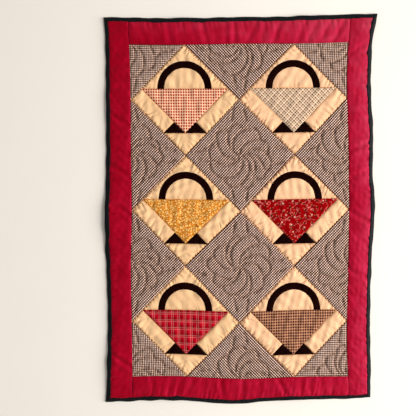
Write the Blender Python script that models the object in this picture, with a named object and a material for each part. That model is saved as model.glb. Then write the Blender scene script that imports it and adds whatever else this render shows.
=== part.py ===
"""A crib quilt lying flat: six pieced blocks set on point, plain setting pieces, four borders and a binding.

Every piece is drawn in cut coordinates, u across and v up, as it was pieced on the table. lay() takes a cut
point to where it lies, with the uneven outline of the real quilt, and the relief functions give how high the
quilted cloth stands there. Units are metres, +Z is up, and the quilt rests on z = 0.
"""

import math

import bmesh
import bpy
from mathutils import Matrix, Vector
from mathutils.geometry import delaunay_2d_cdt
from mathutils.kdtree import KDTree

MM = 0.001
INCH = 0.0254

# Cut sizes: 8 inch blocks on point, two across and three down, with borders and a binding round them
BLOCK = 8 * INCH
DIAGONAL = BLOCK * math.sqrt(2)
COLUMNS = 2
ROWS = 3
HALF_FIELD_U = COLUMNS * DIAGONAL / 2
HALF_FIELD_V = ROWS * DIAGONAL / 2
BORDER = 56.5 * MM
BINDING = 9.5 * MM
HALF_TOP_U = HALF_FIELD_U + BORDER
HALF_TOP_V = HALF_FIELD_V + BORDER
HALF_QUILT_U = HALF_TOP_U + BINDING
HALF_QUILT_V = HALF_TOP_V + BINDING
SEWN_GAP = 0.3 * MM

# The block's piecing: a basket on a grid of five squares, counted from the block's top corner
BASKET_GRID = 5
BASKET_UNIT = BLOCK / BASKET_GRID
BASKET_SEAMS = (
    # from_p, from_q, to_p, to_q
    (4, 0, 0, 4),
    (4, 0, 4, 4),
    (0, 4, 4, 4),
    (4, 3, 5, 3),
    (3, 4, 3, 5),
    (5, 3, 3, 5),
)

# Thickness of the quilted sandwich
PUFF_THICK = 8.5 * MM
SEAM_THICK = 4.0 * MM
PUFF_RUN = 9 * MM
BORDER_THICK = 7.5 * MM
BINDING_THICK = 6.5 * MM

# The quilting motif in the setting pieces: swirled spokes inside a ring of scallops
SPOKES = 8
SPOKE_INNER = 7 * MM
SPOKE_OUTER = 64 * MM
SPOKE_TURN = math.radians(-80)
SCALLOP_BULGE = 14 * MM
CREST_INNER = 26 * MM
STITCH_STEP = 2 * MM

# Sides, each with its direction outwards
SIDES = {"left": (-1, 0), "right": (1, 0), "top": (0, 1), "bottom": (0, -1)}

# Troughs that cross the borders, where they are fuller than the field, in millimetres. Places are
# measured along the side from the quilt's middle, upwards or to the right.
CREASE_HALF_WIDTH = 9 * MM
BORDER_CREASES = (
    # side, place at the field, place at the binding, depth
    ("top", -245, -266, 1.1),
    ("top", -181, -187, 1.7),
    ("top", -110, -123, 0.9),
    ("top", -84, -94, 1.9),
    ("top", -31, -39, 1.2),
    ("top", -9, -16, 2.2),
    ("top", 22, 43, 1.3),
    ("top", 54, 72, 1.0),
    ("top", 88, 112, 2.3),
    ("top", 152, 175, 1.5),
    ("top", 182, 205, 1.3),
    ("top", 215, 236, 1.5),
    ("top", 247, 273, 1.7),
    ("bottom", -237, -237, 1.3),
    ("bottom", -187, -192, 1.3),
    ("bottom", -158, -166, 1.0),
    ("bottom", -123, -142, 1.6),
    ("bottom", -92, -102, 1.0),
    ("bottom", -49, -52, 2.0),
    ("bottom", 7, 1, 2.2),
    ("bottom", 48, 43, 1.0),
    ("bottom", 96, 127, 2.3),
    ("bottom", 165, 162, 1.3),
    ("bottom", 189, 186, 1.6),
    ("bottom", 218, 210, 1.0),
    ("bottom", 246, 240, 1.1),
    ("left", 376, 376, 0.9),
    ("left", 345, 345, 0.9),
    ("left", 288, 303, 1.1),
    ("left", 218, 252, 1.7),
    ("left", 146, 161, 1.0),
    ("left", 89, 112, 1.5),
    ("left", -12, 14, 1.7),
    ("left", -97, -77, 1.3),
    ("left", -247, -237, 1.0),
    ("left", -408, -369, 2.1),
    ("right", 396, 430, 1.0),
    ("right", 148, 172, 1.3),
    ("right", 78, 104, 1.0),
    ("right", -7, -33, 2.2),
    ("right", -154, -178, 1.7),
    ("right", -198, -206, 1.2),
    ("right", -371, -376, 1.1),
)

# How the work has drawn in across and grown down since it was cut
DRAWN_ACROSS = 0.989
GROWN_DOWN = 1.011

# How far each seam and edge lies off its straight line, in millimetres, at even stations.
# Upright lines run from the bottom up and are positive to the right. Level lines run from
# the left and are positive upwards.
FIELD_LEFT_BOW = (4.4, 2.6, -0.5, 1.6, -0.5, -2.1, -6.8)
FIELD_RIGHT_BOW = (1.6, -3.9, -0.5, 2.1, 0.8, -3.4, 2.9)
FIELD_TOP_BOW = (-0.5, -2.4, 0.4, 1.3, 6.0)
FIELD_BOTTOM_BOW = (0.0, 2.1, -5.2, 0.8, 1.3)
EDGE_LEFT_BOW = (3.0, 3.4, 5.0, 3.1, -1.3, -2.4, -0.3, 0.5, 0.0, -1.0, -0.8)
EDGE_RIGHT_BOW = (-7.0, -6.3, -8.6, -6.5, -2.1, 3.7, -1.0, 0.3, -5.5, -4.2, -3.7)
EDGE_TOP_BOW = (2.9, 2.4, 0.4, 0.8, 1.8, 3.8, 3.9, 5.0, 7.6, 10.5, 11.8)
EDGE_BOTTOM_BOW = (0.5, 3.1, 6.5, 4.4, -2.1, -3.7, 3.1, 7.1, 8.1, 8.9, 13.0)

# Corners that are pulled out of line sideways
CORNER_REACH = 105 * MM
CORNER_PULLS = (
    # side of u, side of v, pull along x
    (1, 1, 14.9 * MM),
    (-1, 1, -5.5 * MM),
    (-1, -1, -3.8 * MM),
)

# Waves that lift an edge off the surface
EDGE_WAVES = (
    # side, place along it from the middle, height, half length
    ("left", -20 * MM, 6.0 * MM, 95 * MM),
    ("left", 275 * MM, 2.5 * MM, 80 * MM),
    ("left", -400 * MM, 3.0 * MM, 90 * MM),
    ("right", 465 * MM, 5.0 * MM, 70 * MM),
    ("right", 10 * MM, 4.5 * MM, 80 * MM),
    ("right", -275 * MM, 2.5 * MM, 85 * MM),
    ("top", -160 * MM, 3.0 * MM, 75 * MM),
    ("top", 175 * MM, 4.0 * MM, 85 * MM),
    ("bottom", -195 * MM, 4.5 * MM, 80 * MM),
    ("bottom", 140 * MM, 5.0 * MM, 95 * MM),
)

# Mesh resolution
OUTLINE_STEP = 21 * MM
SPOKE_STEPS = 6
SCALLOP_STEPS = 4
CREST_STEPS = 3
SEAM_STEP = 18 * MM
FILL_STEP = 17 * MM
FILL_CLEAR = 8.5 * MM
FILL_EDGE_CLEAR = 8 * MM
LINE_CLEAR = 5 * MM
STITCHED_THICK = SEAM_THICK + 0.8 * MM
SHARP_ANGLE = math.radians(50)
BORDER_SHARES = (0.0, 0.16, 0.5, 0.84, 1.0)
BORDER_STEP = 24 * MM
END_STEP = 9 * MM
BINDING_STEP = 18 * MM
BINDING_PROFILE = (
    # share of the binding's width from its inner seam, share of its thickness
    (0.00, 0.00),
    (0.00, 0.80),
    (0.38, 1.00),
    (0.85, 0.80),
    (1.00, 0.42),
    (0.80, 0.00),
)

# Colours, as linear red, green and blue
CHECK_GREY = (0.27, 0.17, 0.13)
PEACH = (0.83, 0.50, 0.25)
CRIMSON = (0.42, 0.010, 0.030)
BINDING_BLACK = (0.010, 0.014, 0.018)


def clear_scene():
    """Removes whatever the file holds."""
    for old in list(bpy.data.objects):
        bpy.data.objects.remove(old)


def cloth(name, colour):
    """A matt cotton material of one colour."""
    made = bpy.data.materials.new(name)
    made.use_nodes = True
    shader = made.node_tree.nodes["Principled BSDF"]
    shader.inputs["Base Color"].default_value = (*colour, 1)
    shader.inputs["Roughness"].default_value = 0.85
    shader.inputs["Metallic"].default_value = 0.0
    made.diffuse_color = (*colour, 1)
    return made


def at_station(bows, share):
    """The smooth value, in metres, at a share from 0 to 1 along a table of even stations in millimetres."""
    place = min(max(share, 0.0), 1.0) * (len(bows) - 1)
    first = min(int(place), len(bows) - 2)
    rest = place - first
    before, here = bows[max(first - 1, 0)], bows[first]
    there, after = bows[first + 1], bows[min(first + 2, len(bows) - 1)]
    rise_here, rise_there = (there - before) / 2, (after - here) / 2
    square, cube = rest * rest, rest * rest * rest
    value = (
        (2 * cube - 3 * square + 1) * here
        + (cube - 2 * square + rest) * rise_here
        + (3 * square - 2 * cube) * there
        + (cube - square) * rise_there
    )
    return value * MM


def bow_between(place, share, half_field, half_quilt, bows):
    """How far a line at place has moved, at a share of its length.

    bows holds the tables of the low edge, the low field seam, the high field seam and the high edge.
    """
    low_edge, low_field, high_field, high_edge = (at_station(table, share) for table in bows)
    if place < -half_field:
        out = (-half_field - place) / (half_quilt - half_field)
        return low_field + (low_edge - low_field) * out
    if place > half_field:
        out = (place - half_field) / (half_quilt - half_field)
        return high_field + (high_edge - high_field) * out
    over = (place + half_field) / (2 * half_field)
    return low_field + (high_field - low_field) * over


def lay(u, v):
    """Where a cut point lies on the surface, as x and y."""
    side_bows = (EDGE_LEFT_BOW, FIELD_LEFT_BOW, FIELD_RIGHT_BOW, EDGE_RIGHT_BOW)
    level_bows = (EDGE_BOTTOM_BOW, FIELD_BOTTOM_BOW, FIELD_TOP_BOW, EDGE_TOP_BOW)
    up_share = (v + HALF_QUILT_V) / (2 * HALF_QUILT_V)
    over_share = (u + HALF_QUILT_U) / (2 * HALF_QUILT_U)
    x = u * DRAWN_ACROSS + bow_between(u, up_share, HALF_FIELD_U, HALF_QUILT_U, side_bows)
    y = v * GROWN_DOWN + bow_between(v, over_share, HALF_FIELD_V, HALF_QUILT_V, level_bows)
    for side_u, side_v, pull in CORNER_PULLS:
        away = math.hypot(u - side_u * HALF_QUILT_U, v - side_v * HALF_QUILT_V)
        x += pull * max(0.0, 1 - away / CORNER_REACH) ** 2
    return x, y


def side_point(side, along, out):
    """The cut point at a place along a side, and so far outside the field."""
    out_u, out_v = SIDES[side]
    if out_u:
        return out_u * (HALF_FIELD_U + out), along
    return along, out_v * (HALF_FIELD_V + out)


def puffed(distance, full=PUFF_THICK):
    """How thick the sandwich is at a distance from the nearest line of stitches."""
    return SEAM_THICK + (full - SEAM_THICK) * (1 - math.exp(-distance / PUFF_RUN))


def swirl_spoke(turn, inner, steps):
    """One curved line of the swirl, from its inner radius out, turned about the motif's centre."""
    line = []
    for step in range(steps + 1):
        radius = inner + (SPOKE_OUTER - inner) * step / steps
        angle = turn + SPOKE_TURN * radius / SPOKE_OUTER
        line.append((radius * math.cos(angle), radius * math.sin(angle)))
    return line


def swirl_scallop(turn, steps):
    """The scallop between two spoke ends."""
    line = []
    for step in range(steps + 1):
        share = step / steps
        radius = SPOKE_OUTER + SCALLOP_BULGE * math.sin(math.pi * share)
        angle = turn + SPOKE_TURN + 2 * math.pi / SPOKES * share
        line.append((radius * math.cos(angle), radius * math.sin(angle)))
    return line


def swirl_lines(spoke_steps, scallop_steps):
    """The quilting motif about its own centre: curved spokes, and a scallop between each two spoke ends."""
    turns = [2 * math.pi * spoke / SPOKES for spoke in range(SPOKES)]
    spokes = [swirl_spoke(turn, SPOKE_INNER, spoke_steps) for turn in turns]
    return spokes + [swirl_scallop(turn, scallop_steps) for turn in turns]


def swirl_crests():
    """The ridges between the spokes."""
    turns = [2 * math.pi * (spoke + 0.5) / SPOKES for spoke in range(SPOKES)]
    return [swirl_spoke(turn, CREST_INNER, CREST_STEPS) for turn in turns]


def basket_place(p, q):
    """A point of the basket's grid, from the block's centre: p counts down its right side and q down its left."""
    over = (p - q) * BASKET_UNIT / math.sqrt(2)
    down = (p + q) * BASKET_UNIT / math.sqrt(2)
    return over, DIAGONAL / 2 - down


def basket_lines(step_length):
    """The seams of one pieced block, about its own centre."""
    lines = []
    for from_p, from_q, to_p, to_q in BASKET_SEAMS:
        steps = round(math.hypot(to_p - from_p, to_q - from_q) * BASKET_UNIT / step_length)
        shares = [step / steps for step in range(steps + 1)]
        lines.append(
            [basket_place(from_p + (to_p - from_p) * s, from_q + (to_q - from_q) * s) for s in shares]
        )
    return lines


def nearness(lines):
    """A search tree over the points of some lines."""
    points = [Vector((u, v, 0)) for line in lines for u, v in line]
    tree = KDTree(len(points))
    for index, point in enumerate(points):
        tree.insert(point, index)
    tree.balance()
    return tree


def edge_lift(u, v):
    """How far the underside stands off the surface, where a wave lifts a border and its binding."""
    lift = 0.0
    for side, place, height, half_length in EDGE_WAVES:
        out_u, out_v = SIDES[side]
        along = v if out_u else u
        out = abs(u) - HALF_FIELD_U if out_u else abs(v) - HALF_FIELD_V
        if u * out_u + v * out_v <= 0 or out <= 0:
            continue
        near = 1 - ((along - place) / half_length) ** 2
        lift += height * (out / (BORDER + BINDING)) ** 2 * max(0.0, near) ** 2
    return lift


def border_thickness(side, along, out, half_long):
    """How thick a border is: drawn down along its seams and in the troughs that cross it."""
    thick = puffed(max(0.0, min(out, BORDER - out, half_long - abs(along))), BORDER_THICK)
    fullness = (thick - SEAM_THICK) / (BORDER_THICK - SEAM_THICK)
    for crease_side, at_field, at_binding, depth in BORDER_CREASES:
        if crease_side == side:
            place = (at_field + (at_binding - at_field) * out / BORDER) * MM
            thick -= fullness * depth * MM * math.exp(-(((along - place) / CREASE_HALF_WIDTH) ** 2))
    return thick


def on_point_corners(centre):
    """The corners of a square set on point, trimmed at the field's edge and drawn in by half of the sewn gap."""
    flat = bmesh.new()
    bmesh.ops.create_grid(flat, x_segments=1, y_segments=1, size=BLOCK / 2)
    turn = Matrix.Rotation(math.radians(45), 4, "Z")
    bmesh.ops.transform(flat, matrix=Matrix.Translation((*centre, 0)) @ turn, verts=flat.verts[:])
    for axis, half in ((0, HALF_FIELD_U), (1, HALF_FIELD_V)):
        if abs(abs(centre[axis]) - half) > MM:
            continue
        normal = Vector((0, 0, 0))
        normal[axis] = math.copysign(1, centre[axis])
        everything = flat.verts[:] + flat.edges[:] + flat.faces[:]
        bmesh.ops.bisect_plane(
            flat, geom=everything, dist=0.01 * MM, plane_co=(*centre, 0), plane_no=normal, clear_outer=True
        )
    rim = bmesh.ops.inset_region(
        flat, faces=flat.faces[:], thickness=SEWN_GAP / 2, use_boundary=True, use_even_offset=True
    )
    bmesh.ops.delete(flat, geom=rim["faces"], context="FACES")
    flat.normal_update()
    flat.faces.ensure_lookup_table()
    face = flat.faces[0]
    corners = [vert.co.xy.copy() for vert in face.verts]
    if face.normal.z < 0:
        corners.reverse()
    flat.free()
    return corners


def depth_inside(corners, point):
    """How far inside an outline of straight sides a point lies, negative outside it."""
    depths = []
    for start, end in zip(corners, corners[1:] + corners[:1]):
        side = (end - start).normalized()
        depths.append(side.x * (point.y - start.y) - side.y * (point.x - start.x))
    return min(depths)


def fitted_sheet(corners, lines):
    """A flat sheet of triangles inside an outline, whose edges follow the lines."""
    points = []
    edges = []
    for start, end in zip(corners, corners[1:] + corners[:1]):
        steps = math.ceil((end - start).length / OUTLINE_STEP)
        points += [start.lerp(end, step / steps) for step in range(steps)]
    rim_count = len(points)
    edges += [(index, (index + 1) % rim_count) for index in range(rim_count)]
    for line in lines:
        last = None
        for place in (Vector(pair) for pair in line):
            if depth_inside(corners, place) < LINE_CLEAR:
                last = None
                continue
            if last is not None:
                edges.append((last, len(points)))
            last = len(points)
            points.append(place)
    taken = nearness([[tuple(point) for point in points]])
    low = Vector((min(c.x for c in corners), min(c.y for c in corners)))
    high = Vector((max(c.x for c in corners), max(c.y for c in corners)))
    for row in range(int((high.y - low.y) / FILL_STEP) + 1):
        for column in range(int((high.x - low.x) / FILL_STEP) + 1):
            place = low + Vector((column + 0.5 * (row % 2), row)) * FILL_STEP
            if depth_inside(corners, place) < FILL_EDGE_CLEAR:
                continue
            if taken.find(place.to_3d())[2] > FILL_CLEAR:
                points.append(place)
    made = delaunay_2d_cdt(points, edges, [], 1, 0.01 * MM)
    sheet = bmesh.new()
    verts = [sheet.verts.new((*point, 0)) for point in made[0]]
    for triangle in made[2]:
        sheet.faces.new([verts[index] for index in triangle])
    return sheet


def solid_from_sheet(name, sheet, top_height, fabric):
    """Gives a flat cut sheet its thickness, lays it down and makes it an object."""
    raised = bmesh.ops.extrude_face_region(sheet, geom=sheet.faces[:])
    top = {item for item in raised["geom"] if isinstance(item, bmesh.types.BMVert)}
    below = [face for face in sheet.faces if not any(point in top for point in face.verts)]
    if not any(edge_lift(point.co.x, point.co.y) for point in sheet.verts):
        bmesh.ops.dissolve_faces(sheet, faces=below)
    sewn_down = set()
    for edge in sheet.edges:
        start, end = (point.co for point in edge.verts)
        places = (start, end, (start + end) / 2)
        if top.issuperset(edge.verts) and max(top_height(p.x, p.y) for p in places) < STITCHED_THICK:
            sewn_down.add(edge)
    for point in sheet.verts:
        u, v = point.co.x, point.co.y
        thick = top_height(u, v) if point in top else 0.0
        point.co = Vector((*lay(u, v), edge_lift(u, v) + thick))
    finished(name, sheet, fabric, sewn_down)


def finished(name, mesh, fabric, sewn_down=()):
    """Makes an object of a closed mesh, shaded smooth but for its cut edges and its lines of stitches."""
    bmesh.ops.recalc_face_normals(mesh, faces=mesh.faces[:])
    for face in mesh.faces:
        face.smooth = True
    for edge in mesh.edges:
        edge.smooth = edge not in sewn_down and edge.calc_face_angle() < SHARP_ANGLE
    data = bpy.data.meshes.new(name)
    mesh.to_mesh(data)
    mesh.free()
    data.materials.append(fabric)
    made = bpy.data.objects.new(name, data)
    bpy.context.scene.collection.objects.link(made)


def setting_pieces(fabric):
    """The plain squares and triangles between the blocks, each with its share of the quilting motif."""
    places = {
        "setting_square_upper": (0, 1),
        "setting_square_lower": (0, -1),
        "side_triangle_top": (0, 3),
        "side_triangle_bottom": (0, -3),
        "side_triangle_left_upper": (-2, 1),
        "side_triangle_left_lower": (-2, -1),
        "side_triangle_right_upper": (2, 1),
        "side_triangle_right_lower": (2, -1),
        "corner_triangle_top_left": (-2, 3),
        "corner_triangle_top_right": (2, 3),
        "corner_triangle_bottom_left": (-2, -3),
        "corner_triangle_bottom_right": (2, -3),
    }
    stitches = nearness(swirl_lines(round(SPOKE_OUTER / STITCH_STEP), round(SPOKE_OUTER / STITCH_STEP)))
    creased = swirl_lines(SPOKE_STEPS, SCALLOP_STEPS) + swirl_crests()
    for name, (over, up) in places.items():
        centre = (over * DIAGONAL / 2, up * DIAGONAL / 2)
        corners = on_point_corners(centre)
        lines = [[(u + centre[0], v + centre[1]) for u, v in line] for line in creased]

        def top_height(u, v, centre=centre, corners=corners):
            sewn = max(0.0, depth_inside(corners, Vector((u, v))))
            return puffed(min(sewn, stitches.find((u - centre[0], v - centre[1], 0))[2]))

        solid_from_sheet(name, fitted_sheet(corners, lines), top_height, fabric)


def pieced_blocks(fabric):
    """The six blocks, two across and three down, drawn down along the basket's seams."""
    stitches = nearness(basket_lines(STITCH_STEP))
    for row, up in enumerate((1, 0, -1), start=1):
        for side, over in (("left", -0.5), ("right", 0.5)):
            centre = (over * DIAGONAL, up * DIAGONAL)
            corners = on_point_corners(centre)
            lines = [[(u + centre[0], v + centre[1]) for u, v in line] for line in basket_lines(SEAM_STEP)]

            def top_height(u, v, centre=centre, corners=corners):
                sewn = max(0.0, depth_inside(corners, Vector((u, v))))
                return puffed(min(sewn, stitches.find((u - centre[0], v - centre[1], 0))[2]))

            solid_from_sheet(f"block_row{row}_{side}", fitted_sheet(corners, lines), top_height, fabric)


def border_stations(side, half_long):
    """Where the cross lines of a border's mesh lie, as pairs of places at the field and at the binding.

    They follow each crease and the crest between two creases, and no two are further apart than BORDER_STEP.
    """
    end = half_long - SEWN_GAP / 2
    near_end = half_long - END_STEP
    creases = sorted((a * MM, b * MM) for crease_side, a, b, _depth in BORDER_CREASES if crease_side == side)
    marks = [(-end, -end), (-near_end, -near_end), *creases, (near_end, near_end), (end, end)]
    stations = [marks[0]]
    for before, after in zip(marks, marks[1:]):
        widest = max(after[0] - before[0], after[1] - before[1])
        steps = max(1 if widest < END_STEP * 1.5 else 2, math.ceil(widest / BORDER_STEP))
        for step in range(1, steps + 1):
            share = step / steps
            stations.append(tuple(b + (a - b) * share for b, a in zip(before, after)))
    return stations


def border_strips(fabric):
    """Four borders: the upright ones run the whole height, and the level ones fit between them."""
    for side, (out_u, _out_v) in SIDES.items():
        half_long = HALF_TOP_V if out_u else HALF_FIELD_U
        strip = bmesh.new()
        rows = []
        for at_field, at_binding in border_stations(side, half_long):
            row = []
            for share in BORDER_SHARES:
                out = SEWN_GAP / 2 + (BORDER - SEWN_GAP) * share
                place = at_field + (at_binding - at_field) * share
                row.append(strip.verts.new((*side_point(side, place, out), 0)))
            rows.append([strip.edges.new(pair) for pair in zip(row, row[1:])])
        for low, high in zip(rows, rows[1:]):
            bmesh.ops.bridge_loops(strip, edges=low + high)

        def top_height(u, v, side=side, out_u=out_u, half_long=half_long):
            along, out = (v, abs(u) - HALF_FIELD_U) if out_u else (u, abs(v) - HALF_FIELD_V)
            return border_thickness(side, along, out, half_long)

        solid_from_sheet(f"border_{side}", strip, top_height, fabric)


def binding_strips(fabric):
    """Four folded strips round the edge, mitred where they meet."""
    for side, (out_u, _out_v) in SIDES.items():
        half_long = HALF_TOP_V if out_u else HALF_TOP_U
        steps = round(2 * half_long / BINDING_STEP)
        strip = bmesh.new()
        rings = []
        for step in range(steps + 1):
            ring = []
            for width_share, thick_share in BINDING_PROFILE:
                out = SEWN_GAP / 2 + (BINDING - SEWN_GAP / 2) * width_share
                along = (2 * step / steps - 1) * (half_long + out - SEWN_GAP)
                u, v = side_point(side, along, BORDER + out)
                high = edge_lift(u, v) + BINDING_THICK * thick_share
                ring.append(strip.verts.new((*lay(u, v), high)))
            rings.append(ring)
        edges = [[strip.edges.new(pair) for pair in zip(ring, ring[1:] + ring[:1])] for ring in rings]
        for low, high in zip(edges, edges[1:]):
            bmesh.ops.bridge_loops(strip, edges=low + high)
        strip.faces.new(rings[0])
        strip.faces.new(rings[-1])
        finished(f"binding_{side}", strip, fabric)


def centre_on_origin():
    """Moves every piece so that the quilt's box stands centred on the origin."""
    pieces = list(bpy.context.scene.objects)
    corners = [piece.matrix_world @ Vector(corner) for piece in pieces for corner in piece.bound_box]
    middle = [(min(c[axis] for c in corners) + max(c[axis] for c in corners)) / 2 for axis in (0, 1)]
    for piece in pieces:
        piece.location = (-middle[0], -middle[1], 0)


def main():
    """Builds the quilt from its middle outwards."""
    clear_scene()
    setting_pieces(cloth("check_cotton", CHECK_GREY))
    pieced_blocks(cloth("peach_cotton", PEACH))
    border_strips(cloth("crimson_cotton", CRIMSON))
    binding_strips(cloth("black_binding", BINDING_BLACK))
    bpy.context.view_layer.update()
    centre_on_origin()


main()
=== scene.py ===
"""A crib quilt lying flat, dressed for the camera.

Six basket blocks stand on their points between quilted pieces of a small check, inside a crimson border and
a blue-black binding. Every piece is cut flat on a grid, raised by its quilting, laid where the worn quilt
lies, and given its cloth. Units are metres, +Z is up and +Y runs to the quilt's top edge. Cut coordinates,
u across and v up, are those of the pieces on the sewing table, from the middle of the field.
"""

from __future__ import annotations

import logging
import math
from collections.abc import Iterator, Sequence
from dataclasses import dataclass, replace
from enum import Enum
from functools import cached_property

import bmesh
import bpy
import numpy as np
from mathutils import Matrix, Vector


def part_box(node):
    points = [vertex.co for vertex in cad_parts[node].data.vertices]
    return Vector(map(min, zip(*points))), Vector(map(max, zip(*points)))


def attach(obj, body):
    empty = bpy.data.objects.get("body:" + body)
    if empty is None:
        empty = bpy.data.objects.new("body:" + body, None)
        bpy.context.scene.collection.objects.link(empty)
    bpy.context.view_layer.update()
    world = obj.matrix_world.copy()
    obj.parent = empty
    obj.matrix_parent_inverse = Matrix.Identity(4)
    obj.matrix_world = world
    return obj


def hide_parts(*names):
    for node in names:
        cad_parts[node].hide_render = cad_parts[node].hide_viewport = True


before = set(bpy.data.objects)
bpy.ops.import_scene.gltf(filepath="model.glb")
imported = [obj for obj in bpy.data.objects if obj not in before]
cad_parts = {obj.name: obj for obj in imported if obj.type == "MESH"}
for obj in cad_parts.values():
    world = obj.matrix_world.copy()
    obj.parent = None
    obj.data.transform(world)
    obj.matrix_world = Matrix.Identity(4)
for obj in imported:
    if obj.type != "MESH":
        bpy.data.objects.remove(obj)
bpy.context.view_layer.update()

log = logging.getLogger("crib_quilt")

Pair = tuple[float, float]
Colour = tuple[float, float, float]
Number = "float | Signal"
Paint = "bpy.types.NodeSocket | Colour"

MM = 0.001
INCH = 0.0254
BODY = "root"
CUT_EDGE = math.radians(62)


@dataclass(frozen=True)
class CutSizes:
    """The sizes the quilt was cut and sewn to."""

    block: float = 8 * INCH
    columns: int = 2
    rows: int = 3
    border: float = 56.5 * MM
    binding: float = 9.5 * MM
    seam_allowance: float = INCH / 4
    seam_gap: float = 0.2 * MM

    @property
    def diagonal(self) -> float:
        """A block from corner to corner."""
        return self.block * math.sqrt(2)

    @property
    def half_field(self) -> Pair:
        """Half of the pieced field, across and up."""
        return self.columns * self.diagonal / 2, self.rows * self.diagonal / 2

    @property
    def half_quilt(self) -> Pair:
        """Half of the whole quilt, across and up."""
        across, up = (half + (self.border + self.binding) for half in self.half_field)
        return across, up


CUT = CutSizes()


def fullness(distance: np.ndarray, run: float) -> np.ndarray:
    """How full the wadding is at a distance from where it is sewn down, from 0 to 1."""
    return 1 - np.exp(-distance / run)


@dataclass(frozen=True)
class Loft:
    """How thick the quilted sandwich stands, and how its seams draw it down."""

    low: float
    puff: float
    run: float
    ditch: float
    ditch_half_width: float = 1.5 * MM

    def stood(self, distance: np.ndarray) -> tuple[np.ndarray, np.ndarray]:
        """Raises the cloth beside a seam, which lies in a narrow ditch.

        Args:
            distance: how far places are from the seam.

        Returns:
            How thick the quilt is there, and how full, from 0 to 1.
        """
        full = fullness(distance, self.run)
        ditch = self.ditch * np.exp(-((distance / self.ditch_half_width) ** 2))
        return self.low + (self.puff - self.low) * full - ditch, full


FIELD_LOFT = Loft(low=6.2 * MM, puff=8.5 * MM, run=2.8 * MM, ditch=0.6 * MM)
BORDER_LOFT = Loft(low=6.6 * MM, puff=7.5 * MM, run=4.5 * MM, ditch=0.5 * MM)


class Side(Enum):
    """The quilt's four sides, each with its direction outwards."""

    LEFT = (-1, 0)
    RIGHT = (1, 0)
    TOP = (0, 1)
    BOTTOM = (0, -1)

    @property
    def upright(self) -> bool:
        """Whether the side runs up the quilt."""
        return self.value[0] != 0

    @property
    def label(self) -> str:
        """The side's name in the pieces' names."""
        return self.name.lower()

    def cut_place(self, along: np.ndarray, out: np.ndarray) -> np.ndarray:
        """Cut points on this side.

        Args:
            along: places along the side, from the quilt's middle.
            out: how far they lie outside the field.

        Returns:
            The points, one row of u and v each.
        """
        sign = sum(self.value)
        if self.upright:
            return np.stack([sign * (CUT.half_field[0] + out), along], axis=-1)
        return np.stack([along, sign * (CUT.half_field[1] + out)], axis=-1)

    def split(self, places: np.ndarray) -> tuple[np.ndarray, np.ndarray]:
        """How far along this side cut points lie, and how far outside the field."""
        axis = 0 if self.upright else 1
        return places[:, 1 - axis], sum(self.value) * places[:, axis] - CUT.half_field[axis]


def table_value(table: Sequence[float], share: np.ndarray) -> np.ndarray:
    """Reads a smooth curve through a table of even stations.

    Args:
        table: the stations' values, in millimetres.
        share: places from 0 to 1 along the table.

    Returns:
        The curve's values there, in metres.
    """
    bows = np.array(table) * MM
    place = np.clip(share, 0, 1) * (len(bows) - 1)
    first = np.minimum(place.astype(int), len(bows) - 2)
    rest = place - first
    here, there = bows[first], bows[first + 1]
    rise_here = (there - bows[np.maximum(first - 1, 0)]) / 2
    rise_there = (bows[np.minimum(first + 2, len(bows) - 1)] - here) / 2
    square, cube = rest**2, rest**3
    return (
        (2 * cube - 3 * square + 1) * here
        + (cube - 2 * square + rest) * rise_here
        + (3 * square - 2 * cube) * there
        + (cube - square) * rise_there
    )


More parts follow.
